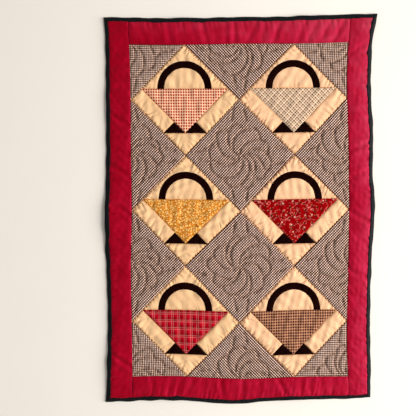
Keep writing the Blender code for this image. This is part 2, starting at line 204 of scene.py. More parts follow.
@dataclass(frozen=True)
class LaidShape:
    """How the quilt lies: drawn in across, grown down, bowed, with one corner pulled out.

    The tables hold how far each seam or edge is off its straight line, in millimetres at even stations.
    Upright lines run from the bottom up and count to the right, level ones from the left and count upwards.
    """

    drawn: Pair = (0.989, 1.011)
    upright_lines: tuple[tuple[float, ...], ...] = (
        (3.0, 3.4, 5.0, 3.1, -1.3, -2.4, -0.3, 0.5, 0.0, -1.0, -0.8),
        (4.4, 2.6, -0.5, 1.6, -0.5, -2.1, -6.8),
        (1.6, -3.9, -0.5, 2.1, 0.8, -3.4, 2.9),
        (-7.0, -6.3, -8.6, -6.5, -2.1, 3.7, -1.0, 0.3, -5.5, -4.2, -3.7),
    )
    level_lines: tuple[tuple[float, ...], ...] = (
        (0.5, 3.1, 6.5, 4.4, -2.1, -3.7, 3.1, 7.1, 8.1, 8.9, 13.0),
        (0.0, 2.1, -5.2, 0.8, 1.3),
        (-0.5, -2.4, 0.4, 1.3, 6.0),
        (2.9, 2.4, 0.4, 0.8, 1.8, 3.8, 3.9, 5.0, 7.6, 10.5, 11.8),
    )
    corner_reach: float = 105 * MM
    corner_pulls: tuple[tuple[int, int, float], ...] = (
        # side across, side up, millimetres to the right
        (1, 1, 14.9),
        (-1, 1, -5.5),
        (-1, -1, -3.8),
    )
    waves: tuple[tuple[Side, float, float, float], ...] = (
        # side, place along it, height and half length, in millimetres
        (Side.LEFT, -20, 6.0, 95),
        (Side.LEFT, 275, 2.5, 80),
        (Side.LEFT, -400, 3.0, 90),
        (Side.RIGHT, 465, 5.0, 70),
        (Side.RIGHT, 10, 4.5, 80),
        (Side.RIGHT, -275, 2.5, 85),
        (Side.TOP, -160, 3.0, 75),
        (Side.TOP, 175, 4.0, 85),
        (Side.BOTTOM, -195, 4.5, 80),
        (Side.BOTTOM, 140, 5.0, 95),
    )

    def bow(self, places: np.ndarray, axis: int) -> np.ndarray:
        """How far cut points have moved along one axis, between the four lines that cross it.

        Args:
            places: the cut points.
            axis: 0 for across, 1 for up.

        Returns:
            How far each has moved.
        """
        tables = self.upright_lines if axis == 0 else self.level_lines
        other = CUT.half_quilt[1 - axis]
        share = (places[:, 1 - axis] + other) / (2 * other)
        values = [table_value(table, share) for table in tables]
        field_half, quilt_half = CUT.half_field[axis], CUT.half_quilt[axis]
        stations = np.array((-quilt_half, -field_half, field_half, quilt_half))
        place = places[:, axis]
        between = np.searchsorted(stations[1:-1], place, side="right")
        low, high = stations[between], stations[between + 1]
        start, end = np.choose(between, values[:-1]), np.choose(between, values[1:])
        return start + (end - start) * (place - low) / (high - low)

    def laid(self, places: np.ndarray) -> np.ndarray:
        """Takes cut points to where they lie, before the quilt is centred.

        Args:
            places: the cut points.

        Returns:
            Where they lie.
        """
        x, y = (places[:, axis] * self.drawn[axis] + self.bow(places, axis) for axis in (0, 1))
        for side_u, side_v, pull in self.corner_pulls:
            away = np.hypot(*(places - np.array([side_u, side_v]) * CUT.half_quilt).T)
            x = x + pull * MM * np.maximum(0, 1 - away / self.corner_reach) ** 2
        return np.stack([x, y], axis=-1)

    def lift(self, places: np.ndarray) -> np.ndarray:
        """How far the quilt's underside stands off the floor, where a wave lifts its edge.

        Args:
            places: the cut points.

        Returns:
            The underside's height at each.
        """
        lift = np.zeros(len(places))
        for side, place, height, half_length in self.waves:
            along, out = side.split(places)
            near = 1 - ((along - place * MM) / (half_length * MM)) ** 2
            share = np.maximum(out, 0) / (CUT.border + CUT.binding)
            lift += height * MM * share**2 * np.maximum(0, near) ** 2
        return lift


class Table:
    """Where the quilt lies in the frame, read from the solid of its upper setting square."""

    def __init__(self, shape: LaidShape) -> None:
        """Finds the frame's middle on the laid quilt.

        Args:
            shape: how the quilt lies.
        """
        self.shape = shape
        half = CUT.diagonal / 2
        corners = shape.laid(np.array([(-half, half), (half, half), (0, 0), (0, 2 * half)]))
        low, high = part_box("setting_square_upper")
        across = corners[:2, 0].mean() - (low.x + high.x) / 2
        up = corners[2:, 1].mean() - (low.y + high.y) / 2
        self.middle = np.array([across, up])

    def place(self, places: np.ndarray) -> np.ndarray:
        """Takes cut points to their places in the frame."""
        return self.shape.laid(places) - self.middle

    def stood(self, places: np.ndarray, height: np.ndarray) -> np.ndarray:
        """Takes cut points at a height over the quilt's underside to places in the frame."""
        return np.column_stack([self.place(places), self.shape.lift(places) + height])


TABLE = Table(LaidShape())


class Waves:
    """A smooth, uneven wave made of a few sines, along a line or over a surface."""

    spread: Pair = (0.65, 1.7)

    def __init__(self, seed: int, wavelength: float, parts: int = 6, flat: bool = False) -> None:
        """Draws the sines.

        Args:
            seed: names the draw, so that it is the same each time.
            wavelength: the usual distance from crest to crest.
            parts: how many sines there are.
            flat: whether the wave runs over a surface rather than along a line.
        """
        chance = np.random.default_rng(seed)
        rates = 2 * math.pi / (wavelength * chance.uniform(*self.spread, parts))
        turns = chance.uniform(0, 2 * math.pi, parts)
        self.rates = rates * np.array([np.cos(turns), np.sin(turns)]) if flat else rates[None, :]
        self.starts = chance.uniform(0, 2 * math.pi, parts)

    def at(self, places: np.ndarray) -> np.ndarray:
        """The wave's height, mostly within -1 to 1, at places of one or two coordinates."""
        flat = places if self.rates.shape[0] == 2 else places[:, None]
        return np.sin(flat @ self.rates + self.starts).sum(axis=1) / math.sqrt(len(self.starts))


@dataclass(frozen=True)
class Rumple:
    """Uneven soft waves all over a piece's cloth."""

    height: float
    pitch: float
    parts: int
    draw: int

    def over(self, places: np.ndarray, seed: int) -> np.ndarray:
        """How far the waves raise the cloth of one piece at cut places."""
        return self.height * Waves(seed + self.draw, self.pitch, self.parts, flat=True).at(places)


def creased(wave: np.ndarray, sharpness: float = 0.35) -> np.ndarray:
    """Turns an even wave into cloth's: broad soft crests and narrower, deeper troughs."""
    return wave - sharpness * wave**2


def pleat(off: np.ndarray, ridge: float = 0.45, ridge_place: float = 1.9) -> np.ndarray:
    """A trough one deep between two low ridges, at a distance from its middle counted in half widths."""
    return np.exp(-(off**2)) - ridge * np.exp(-((np.abs(off) - ridge_place) ** 2))


def around(radius: np.ndarray, angle: np.ndarray) -> np.ndarray:
    """Points at given distances and angles from a middle, one row each."""
    return np.column_stack([radius * np.cos(angle), radius * np.sin(angle)])


class StitchedLines:
    """Lines of stitches on the cut quilt, and how near a place is to them."""

    def __init__(self, lines: Sequence[np.ndarray]) -> None:
        """Splits the lines into straight lengths.

        Args:
            lines: the points of each line, one row each.
        """
        self.lines = [np.asarray(line, float) for line in lines]
        self.starts = np.concatenate([line[:-1] for line in self.lines])
        self.ends = np.concatenate([line[1:] for line in self.lines])
        lengths = np.linalg.norm(self.ends - self.starts, axis=1)
        self.run = np.concatenate([[0], np.cumsum(lengths)[:-1]])

    def nearest(self, places: np.ndarray) -> tuple[np.ndarray, np.ndarray]:
        """Measures places against the lines.

        Args:
            places: the cut points, one row each.

        Returns:
            How far each is from the nearest line, and how far along all the lines that nearest place is.
        """
        best = np.full(len(places), np.inf)
        along = np.zeros(len(places))
        for start, end, run in zip(self.starts, self.ends, self.run):
            way = end - start
            length = max(float(np.hypot(*way)), 1e-9)
            share = np.clip((places - start) @ way / length**2, 0, 1)
            away = np.hypot(*(places - start - share[:, None] * way).T)
            nearer = away < best
            best[nearer] = away[nearer]
            along[nearer] = run + share[nearer] * length
        return best, along

    def moved(self, centre: Pair) -> StitchedLines:
        """The same lines about another centre."""
        return StitchedLines([line + np.array(centre) for line in self.lines])


class Signal:
    """A number that a material works out, held as a node's socket."""

    def __init__(self, bench: Bench, socket: bpy.types.NodeSocket) -> None:
        """Keeps the socket and the bench its node is on."""
        self.bench = bench
        self.socket = socket

    def __add__(self, other: Number) -> Signal:
        """The sum of two numbers."""
        return self.bench.math("ADD", self, other)

    def __sub__(self, other: Number) -> Signal:
        """This number less another."""
        return self.bench.math("SUBTRACT", self, other)

    def __rsub__(self, other: float) -> Signal:
        """Another number less this one."""
        return self.bench.math("SUBTRACT", other, self)

    def __mul__(self, other: Number) -> Signal:
        """The product of two numbers."""
        return self.bench.math("MULTIPLY", self, other)

    def __truediv__(self, other: Number) -> Signal:
        """This number over another."""
        return self.bench.math("DIVIDE", self, other)

    def __rtruediv__(self, other: float) -> Signal:
        """Another number over this one."""
        return self.bench.math("DIVIDE", other, self)

    __radd__ = __add__
    __rmul__ = __mul__

    def wave(self, pitch: float) -> Signal:
        """A sine from -1 to 1 that repeats every pitch."""
        return self.bench.math("SINE", self * (2 * math.pi / pitch))

    def size(self) -> Signal:
        """The number without its sign."""
        return self.bench.math("ABSOLUTE", self)

    def fraction(self) -> Signal:
        """The part over a whole number."""
        return self.bench.math("FRACT", self)

    def least(self, other: Number) -> Signal:
        """The lesser of two numbers."""
        return self.bench.math("MINIMUM", self, other)

    def most(self, other: Number) -> Signal:
        """The greater of two numbers."""
        return self.bench.math("MAXIMUM", self, other)

    def step(self, low: float, high: float) -> Signal:
        """Rises smoothly from 0 at low to 1 at high, or falls where high is the lesser.

        Args:
            low: where the rise begins.
            high: where it ends.

        Returns:
            The share risen.
        """
        if low > high:
            return 1 - self.step(high, low)
        settings = {"interpolation_type": "SMOOTHSTEP"}
        inputs = {"Value": self, "From Min": low, "From Max": high}
        return self.bench.signal("ShaderNodeMapRange", "Result", settings, inputs)


class Bench:
    """The nodes of one material or world, laid out by writing expressions."""

    noise_roughness: float = 0.55

    def __init__(self, owner: bpy.types.Material | bpy.types.World) -> None:
        """Clears the nodes for new ones.

        Args:
            owner: the material or world.
        """
        owner.use_nodes = True
        self.tree = owner.node_tree
        self.tree.nodes.clear()

    def node(self, kind: str, settings: dict | None = None, inputs: dict | None = None) -> bpy.types.Node:
        """Adds any node.

        Args:
            kind: the node's type.
            settings: its own properties, set first.
            inputs: what goes into its sockets, by name or number: values, signals or sockets.

        Returns:
            The node.
        """
        made = self.tree.nodes.new(kind)
        for key, value in (settings or {}).items():
            setattr(made, key, value)
        for key, value in (inputs or {}).items():
            if isinstance(value, Signal):
                value = value.socket
            if isinstance(value, bpy.types.NodeSocket):
                self.tree.links.new(value, made.inputs[key])
            else:
                made.inputs[key].default_value = value
        return made

    def signal(
        self, kind: str, output: str, settings: dict | None = None, inputs: dict | None = None
    ) -> Signal:
        """Adds a node and returns one of its outputs as a signal."""
        return Signal(self, self.node(kind, settings, inputs).outputs[output])

    def math(self, operation: str, *values: Number) -> Signal:
        """Adds a Math node."""
        return self.signal("ShaderNodeMath", "Value", {"operation": operation}, dict(enumerate(values)))

    def attribute(self, name: str) -> Signal:
        """Reads a number that the piece stores at its corners."""
        return self.signal("ShaderNodeAttribute", "Fac", {"attribute_name": name})

    def point(self, x: Number, y: Number, z: Number = 0.0) -> bpy.types.NodeSocket:
        """Joins three numbers into a vector."""
        return self.node("ShaderNodeCombineXYZ", inputs={"X": x, "Y": y, "Z": z}).outputs["Vector"]

    def parts(self, vector: bpy.types.NodeSocket) -> list[Signal]:
        """Splits a vector into its three numbers."""
        made = self.node("ShaderNodeSeparateXYZ", inputs={"Vector": vector})
        return [Signal(self, output) for output in made.outputs]

    def colour(self, *parts: Number) -> bpy.types.NodeSocket:
        """Joins red, green and blue into a colour."""
        return self.node("ShaderNodeCombineColor", inputs=dict(enumerate(parts))).outputs["Color"]

    def noise(self, x: Number, y: Number, detail: float, seed: float) -> Signal:
        """Soft noise over two coordinates that are already scaled.

        Args:
            x: the first coordinate.
            y: the second coordinate.
            detail: how much finer noise there is in it.
            seed: sets this noise apart from others.

        Returns:
            The noise, from 0 to 1.
        """
        settings, place = {"noise_dimensions": "3D"}, self.point(x, y, seed)
        inputs = {"Vector": place, "Scale": 1.0, "Detail": detail, "Roughness": self.noise_roughness}
        return self.signal("ShaderNodeTexNoise", "Fac", settings, inputs)

    def mix(self, share: Number, low: Paint, high: Paint, blend: str = "MIX") -> bpy.types.NodeSocket:
        """Mixes two colours.

        Args:
            share: how much of the second there is.
            low: the first colour.
            high: the second colour.
            blend: the Mix node's way of joining them.

        Returns:
            The mixed colour.
        """
        factor, first, second, result = 0, 6, 7, 2
        low, high = ((*paint, 1) if isinstance(paint, tuple) else paint for paint in (low, high))
        settings = {"data_type": "RGBA", "blend_type": blend}
        return self.node("ShaderNodeMix", settings, {factor: share, first: low, second: high}).outputs[result]

    def surface(self, inputs: dict) -> None:
        """Ends a material with its Principled shader."""
        shader = self.node("ShaderNodeBsdfPrincipled", inputs=inputs)
        self.node("ShaderNodeOutputMaterial", inputs={"Surface": shader.outputs["BSDF"]})


@dataclass(frozen=True)
class Grain:
    """The cloth's own directions at a place, in metres along its weft and its warp."""

    x: Signal
    y: Signal

    @property
    def bench(self) -> Bench:
        """The bench of the material that reads them."""
        return self.x.bench

    def noise(self, long: float, high: float, seed: float, detail: float = 1.0) -> Signal:
        """Soft noise from 0 to 1, its blots so long along the weft and so high along the warp."""
        return self.bench.noise(self.x / long, self.y / high, detail, seed)


@dataclass(frozen=True)
class Cotton:
    """A plain-weave cotton of one colour, washed and a little worn, with lighter rubbed crests and painted
    shade in its troughs.
    """

    name: str
    colour: Colour
    roughness: float = 0.86
    specular: float = 0.12
    specular_tint: Colour = (1, 1, 1)
    thread: float = 0.42 * MM
    weave_height: float = 0.05 * MM
    slub: float = 0.07
    slub_length: float = 22 * MM
    slub_threads: float = 1.4
    mottle: float = 0.10
    mottle_pitch: float = 38 * MM
    even_fullness: float = 0.6
    # How much lighter the full crests are, and how much painted shade darkens the troughs
    crest_rub_and_trough_shade: float = 0.10
    # How much the painted shade in the troughs is warmed, as light bounced in them would be
    trough_bounce_warmth: float = 0.3
    rumple: float = 0.22 * MM
    rumple_pitch: float = 9 * MM

    def pattern(self, grain: Grain) -> Paint:
        """The dyed or printed colour at a place in the cloth, before weave and wear."""
        return self.colour

    def shade(self, grain: Grain, full: Signal) -> Signal:
        """How light the cloth is: slubby threads, uneven washing, rubbed crests, and painted shade in the
        troughs.

        Args:
            grain: the place in the cloth.
            full: how full the quilt is there.

        Returns:
            What the colour is multiplied by.
        """
        long, short = self.slub_length, self.thread * self.slub_threads
        threads = grain.noise(long, short, seed=1.7) + grain.noise(short, long, seed=5.1) - 1
        wash = grain.noise(self.mottle_pitch, self.mottle_pitch, seed=9.3, detail=3.0) - 0.5
        # Painted shade where seams and stitches draw the quilt down, with worn, lighter full crests
        rubbed_and_shaded = (full - self.even_fullness) * self.crest_rub_and_trough_shade
        return 1 + threads * self.slub + wash * self.mottle + rubbed_and_shaded

    def height(self, grain: Grain) -> Signal:
        """The cloth's own relief in metres: crossing threads, and the soft crumple of washing."""
        weave = grain.x.wave(2 * self.thread) * grain.y.wave(2 * self.thread) * self.weave_height
        return weave + grain.noise(self.rumple_pitch, self.rumple_pitch, seed=3.9, detail=3.0) * self.rumple

    def grain(self, bench: Bench) -> Grain:
        """Reads the cloth's own directions from the piece's chart."""
        x, y, _none = bench.parts(bench.node("ShaderNodeUVMap", {"uv_map": "Grain"}).outputs["UV"])
        return Grain(x, y)

    def material(self) -> bpy.types.Material:
        """Builds the cloth's material.

        Returns:
            The material.
        """
        made = bpy.data.materials.new(self.name)
        bench = Bench(made)
        grain = self.grain(bench)
        full = bench.attribute("Fullness")
        shade = self.shade(grain, full)
        # Painted bounce light: the troughs' painted shade is warmer, the crests cooler
        warmth = (self.even_fullness - full) * self.crest_rub_and_trough_shade * self.trough_bounce_warmth
        tint = bench.colour(shade + warmth, shade, shade - warmth)
        bump = bench.node("ShaderNodeBump", inputs={"Height": self.height(grain), "Distance": 1.0})
        bench.surface({
            "Base Color": bench.mix(1.0, self.pattern(grain), tint, "MULTIPLY"),
            "Roughness": self.roughness,
            "Specular IOR Level": self.specular,
            "Specular Tint": (*self.specular_tint, 1),
            "Normal": bump.outputs["Normal"],
        })
        made.diffuse_color = (*self.colour, 1)
        return made


@dataclass(frozen=True)
class WashedCotton(Cotton):
    """A dyed cotton whose colour has washed out in soft blotches, and is paled more in some places than in
    others by wear and by painted sheen.
    """

    # The palest colour, of worn dye and painted sheen together
    pale_and_sheen: Colour = (0.5, 0.1, 0.1)
    blotch: float = 30 * MM
    unevenness: float = 0.8

    def pattern(self, grain: Grain) -> Paint:
        """The dye, thinned in proportion to the wear and the painted sheen, so that its deepest colour goes
        first.

        Args:
            grain: the place in the cloth.

        Returns:
            The colour there.
        """
        bench = grain.bench
        blotches = grain.noise(self.blotch, self.blotch, seed=6.2) - 0.5
        # The stored value is wear and painted sheen, higher towards the right where the light falls
        wear_and_sheen = bench.attribute("WearAndSheen") + blotches * self.unevenness
        pairs = zip(self.colour, self.pale_and_sheen)
        return bench.colour(*(deep * bench.math("POWER", pale / deep, wear_and_sheen) for deep, pale in pairs))


@dataclass(frozen=True)
class CheckedCotton(Cotton):
    """A cotton woven from dark and light threads in turn, so that stripes cross.

    Each pair of sizes is that of the stripes across the weft, then of those across the warp.
    """

    dark: Colour = (0.05, 0.016, 0.008)
    pitch: Pair = (5.1 * MM, 4.6 * MM)
    duty: Pair = (0.5, 0.5)
    single: Pair = (0.5, 0.5)
    crossing: float = 0.0
    crisp: float = 12.0

    def stripe(self, place: Signal, pitch: float, duty: float) -> Signal:
        """Where the dark threads lie in one direction, from 0 to 1."""
        over = place.wave(pitch) - math.cos(math.pi * duty)
        return (over * (self.crisp / 2) + 0.5).most(0.0).least(1.0)

    def pattern(self, grain: Grain) -> Paint:
        """Light where light threads cross, and darker where dark ones cross them or each other.

        Args:
            grain: the place in the cloth.

        Returns:
            The colour there.
        """
        first = self.stripe(grain.x, self.pitch[0], self.duty[0])
        second = self.stripe(grain.y, self.pitch[1], self.duty[1])
        share = first * self.single[0] + second * self.single[1] + first * second * self.crossing
        return grain.bench.mix(share, self.colour, self.dark)


@dataclass(frozen=True)
class LinedCheck(CheckedCotton):
    """A check with fine light lines ruled over it both ways, single or in pairs."""

    line: Colour = (0.9, 0.8, 0.7)
    line_pitch: Pair = (12.4 * MM, 12.4 * MM)
    line_half_width: float = 0.7 * MM
    line_edge: Pair = (1.6, 0.5)
    beside: float = 0.0
    middle_line: bool = True
    line_strength: float = 0.85
    alone: float = 0.62

    def lines(self, place: Signal, pitch: float) -> Signal:
        """Where the light lines lie in one direction: on each repeat, beside it, or both.

        Args:
            place: the place in that direction.
            pitch: the length of a repeat.

        Returns:
            1 on a line and 0 off it.
        """
        off_middle = ((place / pitch + 0.5).fraction() - 0.5).size() * pitch
        off_line = (off_middle - self.beside).size()
        if self.middle_line:
            off_line = off_line.least(off_middle)
        return off_line.step(*(self.line_half_width * edge for edge in self.line_edge))

    def pattern(self, grain: Grain) -> Paint:
        """The check with its lines, strongest where two cross.

        Args:
            grain: the place in the cloth.

        Returns:
            The colour there.
        """
        check = super().pattern(grain)
        level, upright = self.lines(grain.x, self.line_pitch[0]), self.lines(grain.y, self.line_pitch[1])
        ruled = level.most(upright) * self.alone + level * upright * (1 - self.alone)
        return grain.bench.mix(ruled * self.line_strength, check, self.line)


@dataclass(frozen=True)
class Scatter:
    """Small shapes of one colour scattered over a print: dots, or petals round a middle."""

    colour: Colour
    pitch: float
    size: float
    petals: int = 1
    strength: float = 0.9
    shift: float = 0.0
    unevenness: float = 0.85
    notch: float = 0.34
    soft_edge: float = 0.25 * MM

    def shapes(self, grain: Grain) -> Signal:
        """Where the shapes lie.

        Args:
            grain: the place in the cloth.

        Returns:
            1 on them and 0 off them.
        """
        bench, x, y = grain.bench, grain.x + self.shift, grain.y - self.shift
        settings = {"voronoi_dimensions": "2D", "feature": "F1"}
        inputs = {"Vector": bench.point(x, y), "Scale": 1 / self.pitch, "Randomness": self.unevenness}
        cell = bench.node("ShaderNodeTexVoronoi", settings, inputs)
        middle_x, middle_y, _none = bench.parts(cell.outputs["Position"])
        over, up = x - middle_x, y - middle_y
        turned = bench.node("ShaderNodeSeparateColor", inputs={"Color": cell.outputs["Color"]})
        turn = Signal(bench, turned.outputs["Red"]) * (2 * math.pi)
        angle = bench.math("ARCTAN2", up, over) * float(self.petals) + turn
        reach = (bench.math("SINE", angle) * self.notch + (1 - self.notch)) * self.size
        away = bench.math("SQRT", over * over + up * up)
        return (away - reach).step(self.soft_edge, -self.soft_edge)


@dataclass(frozen=True)
class SprigPrint(Cotton):
    """A calico with broken, winding vines under scattered flowers, leaves and dots."""

    vine: Colour = (0.8, 0.55, 0.45)
    vine_pitch: float = 14 * MM
    vine_width: float = 0.05
    vine_core: float = 0.3
    vine_strength: float = 0.8
    vine_breaks: Pair = (0.40, 0.48)
    scatters: tuple[Scatter, ...] = ()

    def pattern(self, grain: Grain) -> Paint:
        """The vines, then each scatter over what is there.

        Args:
            grain: the place in the cloth.

        Returns:
            The colour there.
        """
        winding = (grain.noise(self.vine_pitch, self.vine_pitch, seed=11.0) - 0.5).size()
        whole = grain.noise(self.vine_pitch, self.vine_pitch, seed=31.0, detail=0.0).step(*self.vine_breaks)
        vines = winding.step(self.vine_width, self.vine_width * self.vine_core) * whole
        cloth = grain.bench.mix(vines * self.vine_strength, self.colour, self.vine)
        for scatter in self.scatters:
            cloth = grain.bench.mix(scatter.shapes(grain) * scatter.strength, cloth, scatter.colour)
        return cloth


@dataclass(frozen=True)
class SewingThread(Cotton):
    """Quilting thread: two plies twisted round each other."""

    ply: float = 0.7 * MM
    ply_lean: float = 1.3
    ply_height: float = 0.04 * MM
    crest_rub_and_trough_shade: float = 0.0

    def grain(self, bench: Bench) -> Grain:
        """Reads the place in the quilt, because the thread runs every way."""
        x, y, _up = bench.parts(bench.node("ShaderNodeTexCoord").outputs["Object"])
        return Grain(x, y)

    def height(self, grain: Grain) -> Signal:
        """Slanting ridges of the plies along the thread."""
        return (grain.x + grain.y * self.ply_lean).wave(self.ply) * self.ply_height


SMALL_CHECK = CheckedCotton(
    "small_check_cotton", (1.0, 0.71, 0.575), dark=(0.03, 0.004, 0.0), pitch=(5.3 * MM, 4.9 * MM),
    duty=(0.58, 0.40), single=(1.0, 0.85), crossing=-0.85, specular=0.06, crest_rub_and_trough_shade=0.26,
)
STRAIGHT_CHECK = replace(
    SMALL_CHECK, name="small_check_cotton_straight", colour=(0.95, 0.67, 0.54), pitch=(4.75 * MM, 4.6 * MM),
    duty=(0.64, 0.42), single=(0.85, 0.75), crossing=-0.6,
)
PEACH = Cotton("peach_cotton", (0.745, 0.445, 0.229), mottle=0.20, crest_rub_and_trough_shade=0.38)
# Painted light: the same peach made lighter for the right-hand blocks, which lie towards the lamp
PEACH_PAINTED_LIGHTER = replace(PEACH, name="peach_cotton_painted_lighter", colour=(0.79, 0.45, 0.25))
BLACK = Cotton(
    "black_cotton", (0.0045, 0.0006, 0.0004), specular=0.06, specular_tint=(1.0, 0.3, 0.25),
    slub=0.3, mottle=0.3,
)
# The crimson pales towards the right: worn dye and painted sheen
CRIMSON = WashedCotton(
    "crimson_cotton", (0.27, 0.0004, 0.004), roughness=0.52, specular=0.5, specular_tint=(1.0, 0.03, 0.32),
    slub=0.05, mottle=0.28, crest_rub_and_trough_shade=0.2, pale_and_sheen=(0.405, 0.0175, 0.039),
)
BINDING_CLOTH = Cotton(
    "blue_black_binding", (0.0028, 0.004, 0.0055), roughness=0.6, specular=0.10, slub=0.25, mottle=0.2,
)
UNDERSIDE = Cotton("natural_cotton_back", (0.62, 0.52, 0.38))
QUILTING_COTTON = SewingThread("brown_quilting_thread", (0.33, 0.20, 0.15), roughness=0.6)

RED_GINGHAM = CheckedCotton(
    "red_gingham", (1.0, 0.62, 0.385), dark=(0.32, 0.0, 0.0), pitch=(6.6 * MM, 7.3 * MM), duty=(0.62, 0.58),
    single=(0.37, 0.31), crossing=0.32,
)
CREAM_PLAID = LinedCheck(
    "cream_plaid", (0.77, 0.54, 0.365), dark=(0.09, 0.02, 0.003), pitch=(5.9 * MM, 5.9 * MM), duty=(0.6, 0.6),
    single=(0.26, 0.26), crossing=0.46, line=(0.95, 0.76, 0.54), line_pitch=(11.8 * MM, 11.8 * MM),
    line_half_width=0.75 * MM, line_strength=0.95,
)
GOLD_CALICO = SprigPrint(
    "gold_calico", (0.55, 0.155, 0.004), vine=(0.82, 0.50, 0.13), vine_pitch=6.5 * MM, vine_width=0.035,
    scatters=(
        Scatter((0.38, 0.07, 0.0), pitch=8 * MM, size=2.1 * MM, petals=2, strength=0.85, shift=0.4),
        Scatter((0.84, 0.50, 0.10), pitch=5 * MM, size=1.6 * MM, petals=2, strength=0.75, shift=0.7),
        Scatter((0.96, 0.74, 0.32), pitch=7.5 * MM, size=2.1 * MM, petals=3, strength=0.95, shift=0.1),
    ),
)
RED_CALICO = SprigPrint(
    "red_calico", (0.265, 0.0, 0.001), specular=0.03, vine=(0.64, 0.16, 0.14), vine_pitch=18 * MM,
    vine_width=0.022, scatters=(
        Scatter((0.55, 0.11, 0.09), pitch=13.5 * MM, size=2.2 * MM, petals=2, strength=0.85, shift=0.9),
        Scatter((0.03, 0.012, 0.007), pitch=15 * MM, size=3.3 * MM, strength=0.95, shift=0.3),
        Scatter((0.62, 0.18, 0.08), pitch=15 * MM, size=1.8 * MM, strength=0.85, shift=0.3026),
        Scatter((0.74, 0.42, 0.32), pitch=27 * MM, size=2.8 * MM, petals=5, strength=0.95, shift=0.6),
    ),
)
RED_PLAID = LinedCheck(
    "red_plaid", (0.43, 0.0, 0.012), dark=(0.20, 0.0, 0.002), specular=0.05, pitch=(16.7 * MM, 19.8 * MM),
    duty=(0.45, 0.45), single=(0.4, 0.4), crossing=0.2, line=(0.76, 0.30, 0.27),
    line_pitch=(16.7 * MM, 19.8 * MM), line_half_width=0.7 * MM, beside=2.3 * MM, middle_line=False,
    line_strength=0.55,
)
BROWN_CHECK = CheckedCotton(
    "brown_check", (0.62, 0.29, 0.16), dark=(0.035, 0.0, 0.0), pitch=(6.5 * MM, 7.2 * MM), duty=(0.64, 0.60),
    single=(0.46, 0.42), crossing=0.12,
)


@dataclass(frozen=True)
class Patch:
    """A cloth on part of a piece, and how its grain lies there."""

    cloth: Cotton
    turn: float = 0.0
    shift: Pair = (0.0, 0.0)


class Wardrobe:
    """The materials made so far, one for each cloth."""

    def __init__(self) -> None:
        """Starts with no material made."""
        self.made: dict[str, bpy.types.Material] = {}

    def material(self, cloth: Cotton) -> bpy.types.Material:
        """A cloth's material, built when it is first asked for.

        Args:
            cloth: the cloth.

        Returns:
            Its material.
        """
        if cloth.name not in self.made:
            self.made[cloth.name] = cloth.material()
        return self.made[cloth.name]


def placed(name: str, data: bpy.types.ID) -> bpy.types.Object:
    """Makes an object of a mesh, a lamp or a camera and puts it in the scene.

    Args:
        name: the object's name.
        data: what it shows.

    Returns:
        The object.
    """
    made = bpy.data.objects.new(name, data)
    bpy.context.scene.collection.objects.link(made)
    return made


def mesh_of(shape: bmesh.types.BMesh, name: str) -> bpy.types.Mesh:
    """Turns a finished shape into a mesh and frees it.

    Some of Blender's steps leave the faces in an order that differs from run to run, so they are put in the
    order of their corners.

    Args:
        shape: the shape.
        name: the mesh's name.

    Returns:
        The mesh.
    """
    shape.verts.index_update()
    ordered = sorted(shape.faces, key=lambda face: sorted(corner.index for corner in face.verts))
    ranks = {face: rank for rank, face in enumerate(ordered)}
    shape.faces.sort(key=ranks.get)
    mesh = bpy.data.meshes.new(name)
    shape.to_mesh(mesh)
    shape.free()
    return mesh


def read(items: bpy.types.bpy_prop_collection, key: str, width: int, kind: type = np.float64) -> np.ndarray:
    """Reads one property of many mesh items.

    Args:
        items: the mesh's corners, loops or faces.
        key: the property's name.
        width: how many numbers it has.
        kind: the numbers' type.

    Returns:
        The numbers, one row for each item.
    """
    found = np.zeros(len(items) * width, kind)
    items.foreach_get(key, found)
    return found.reshape(-1, width) if width > 1 else found


def store(mesh: bpy.types.Mesh, name: str, values: np.ndarray) -> None:
    """Stores a number at each corner of a mesh, for its material to read."""
    mesh.attributes.new(name, "FLOAT", "POINT").data.foreach_set("value", values)


def chart(mesh: bpy.types.Mesh, grain: np.ndarray) -> None:
    """Gives each face corner its place in the cloth's grain."""
    mesh.uv_layers.new(name="Grain").uv.foreach_set("vector", grain.ravel())


def lay(mesh: bpy.types.Mesh, cut: np.ndarray, height: np.ndarray, full: np.ndarray) -> None:
    """Lays a piece of cloth in the frame and shades it smooth but for its cut edges.

    Args:
        mesh: the piece's mesh.
        cut: the cut places of its corners.
        height: how high each is over the quilt's underside.
        full: how full the quilt is there, for the material.
    """
    mesh.vertices.foreach_set("co", TABLE.stood(cut, height).ravel())
    store(mesh, "Fullness", full)
    mesh.shade_smooth()
    mesh.set_sharp_from_angle(angle=CUT_EDGE)
    mesh.update()


def close_below(flat: bmesh.types.BMesh, whole: bool) -> None:
    """Makes a flat sheet a closed slab one unit thick, its top at z = 1.

    Args:
        flat: the sheet.
        whole: whether the underside keeps the top's grid, rather than being one face.
    """
    if whole:
        raised = bmesh.ops.extrude_face_region(flat, geom=flat.faces[:])["geom"]
        top = [item for item in raised if isinstance(item, bmesh.types.BMVert)]
    else:
        top = flat.verts[:]
        rim = [edge for edge in flat.edges if edge.is_boundary]
        hem = bmesh.ops.extrude_edge_only(flat, edges=rim)["geom"]
        below = {item for item in hem if isinstance(item, bmesh.types.BMVert)}
        edges = [item for item in hem if isinstance(item, bmesh.types.BMEdge)]
        bmesh.ops.contextual_create(flat, geom=[edge for edge in edges if below.issuperset(edge.verts)])
    bmesh.ops.translate(flat, verts=top, vec=(0, 0, 1))
    bmesh.ops.recalc_face_normals(flat, faces=flat.faces[:])


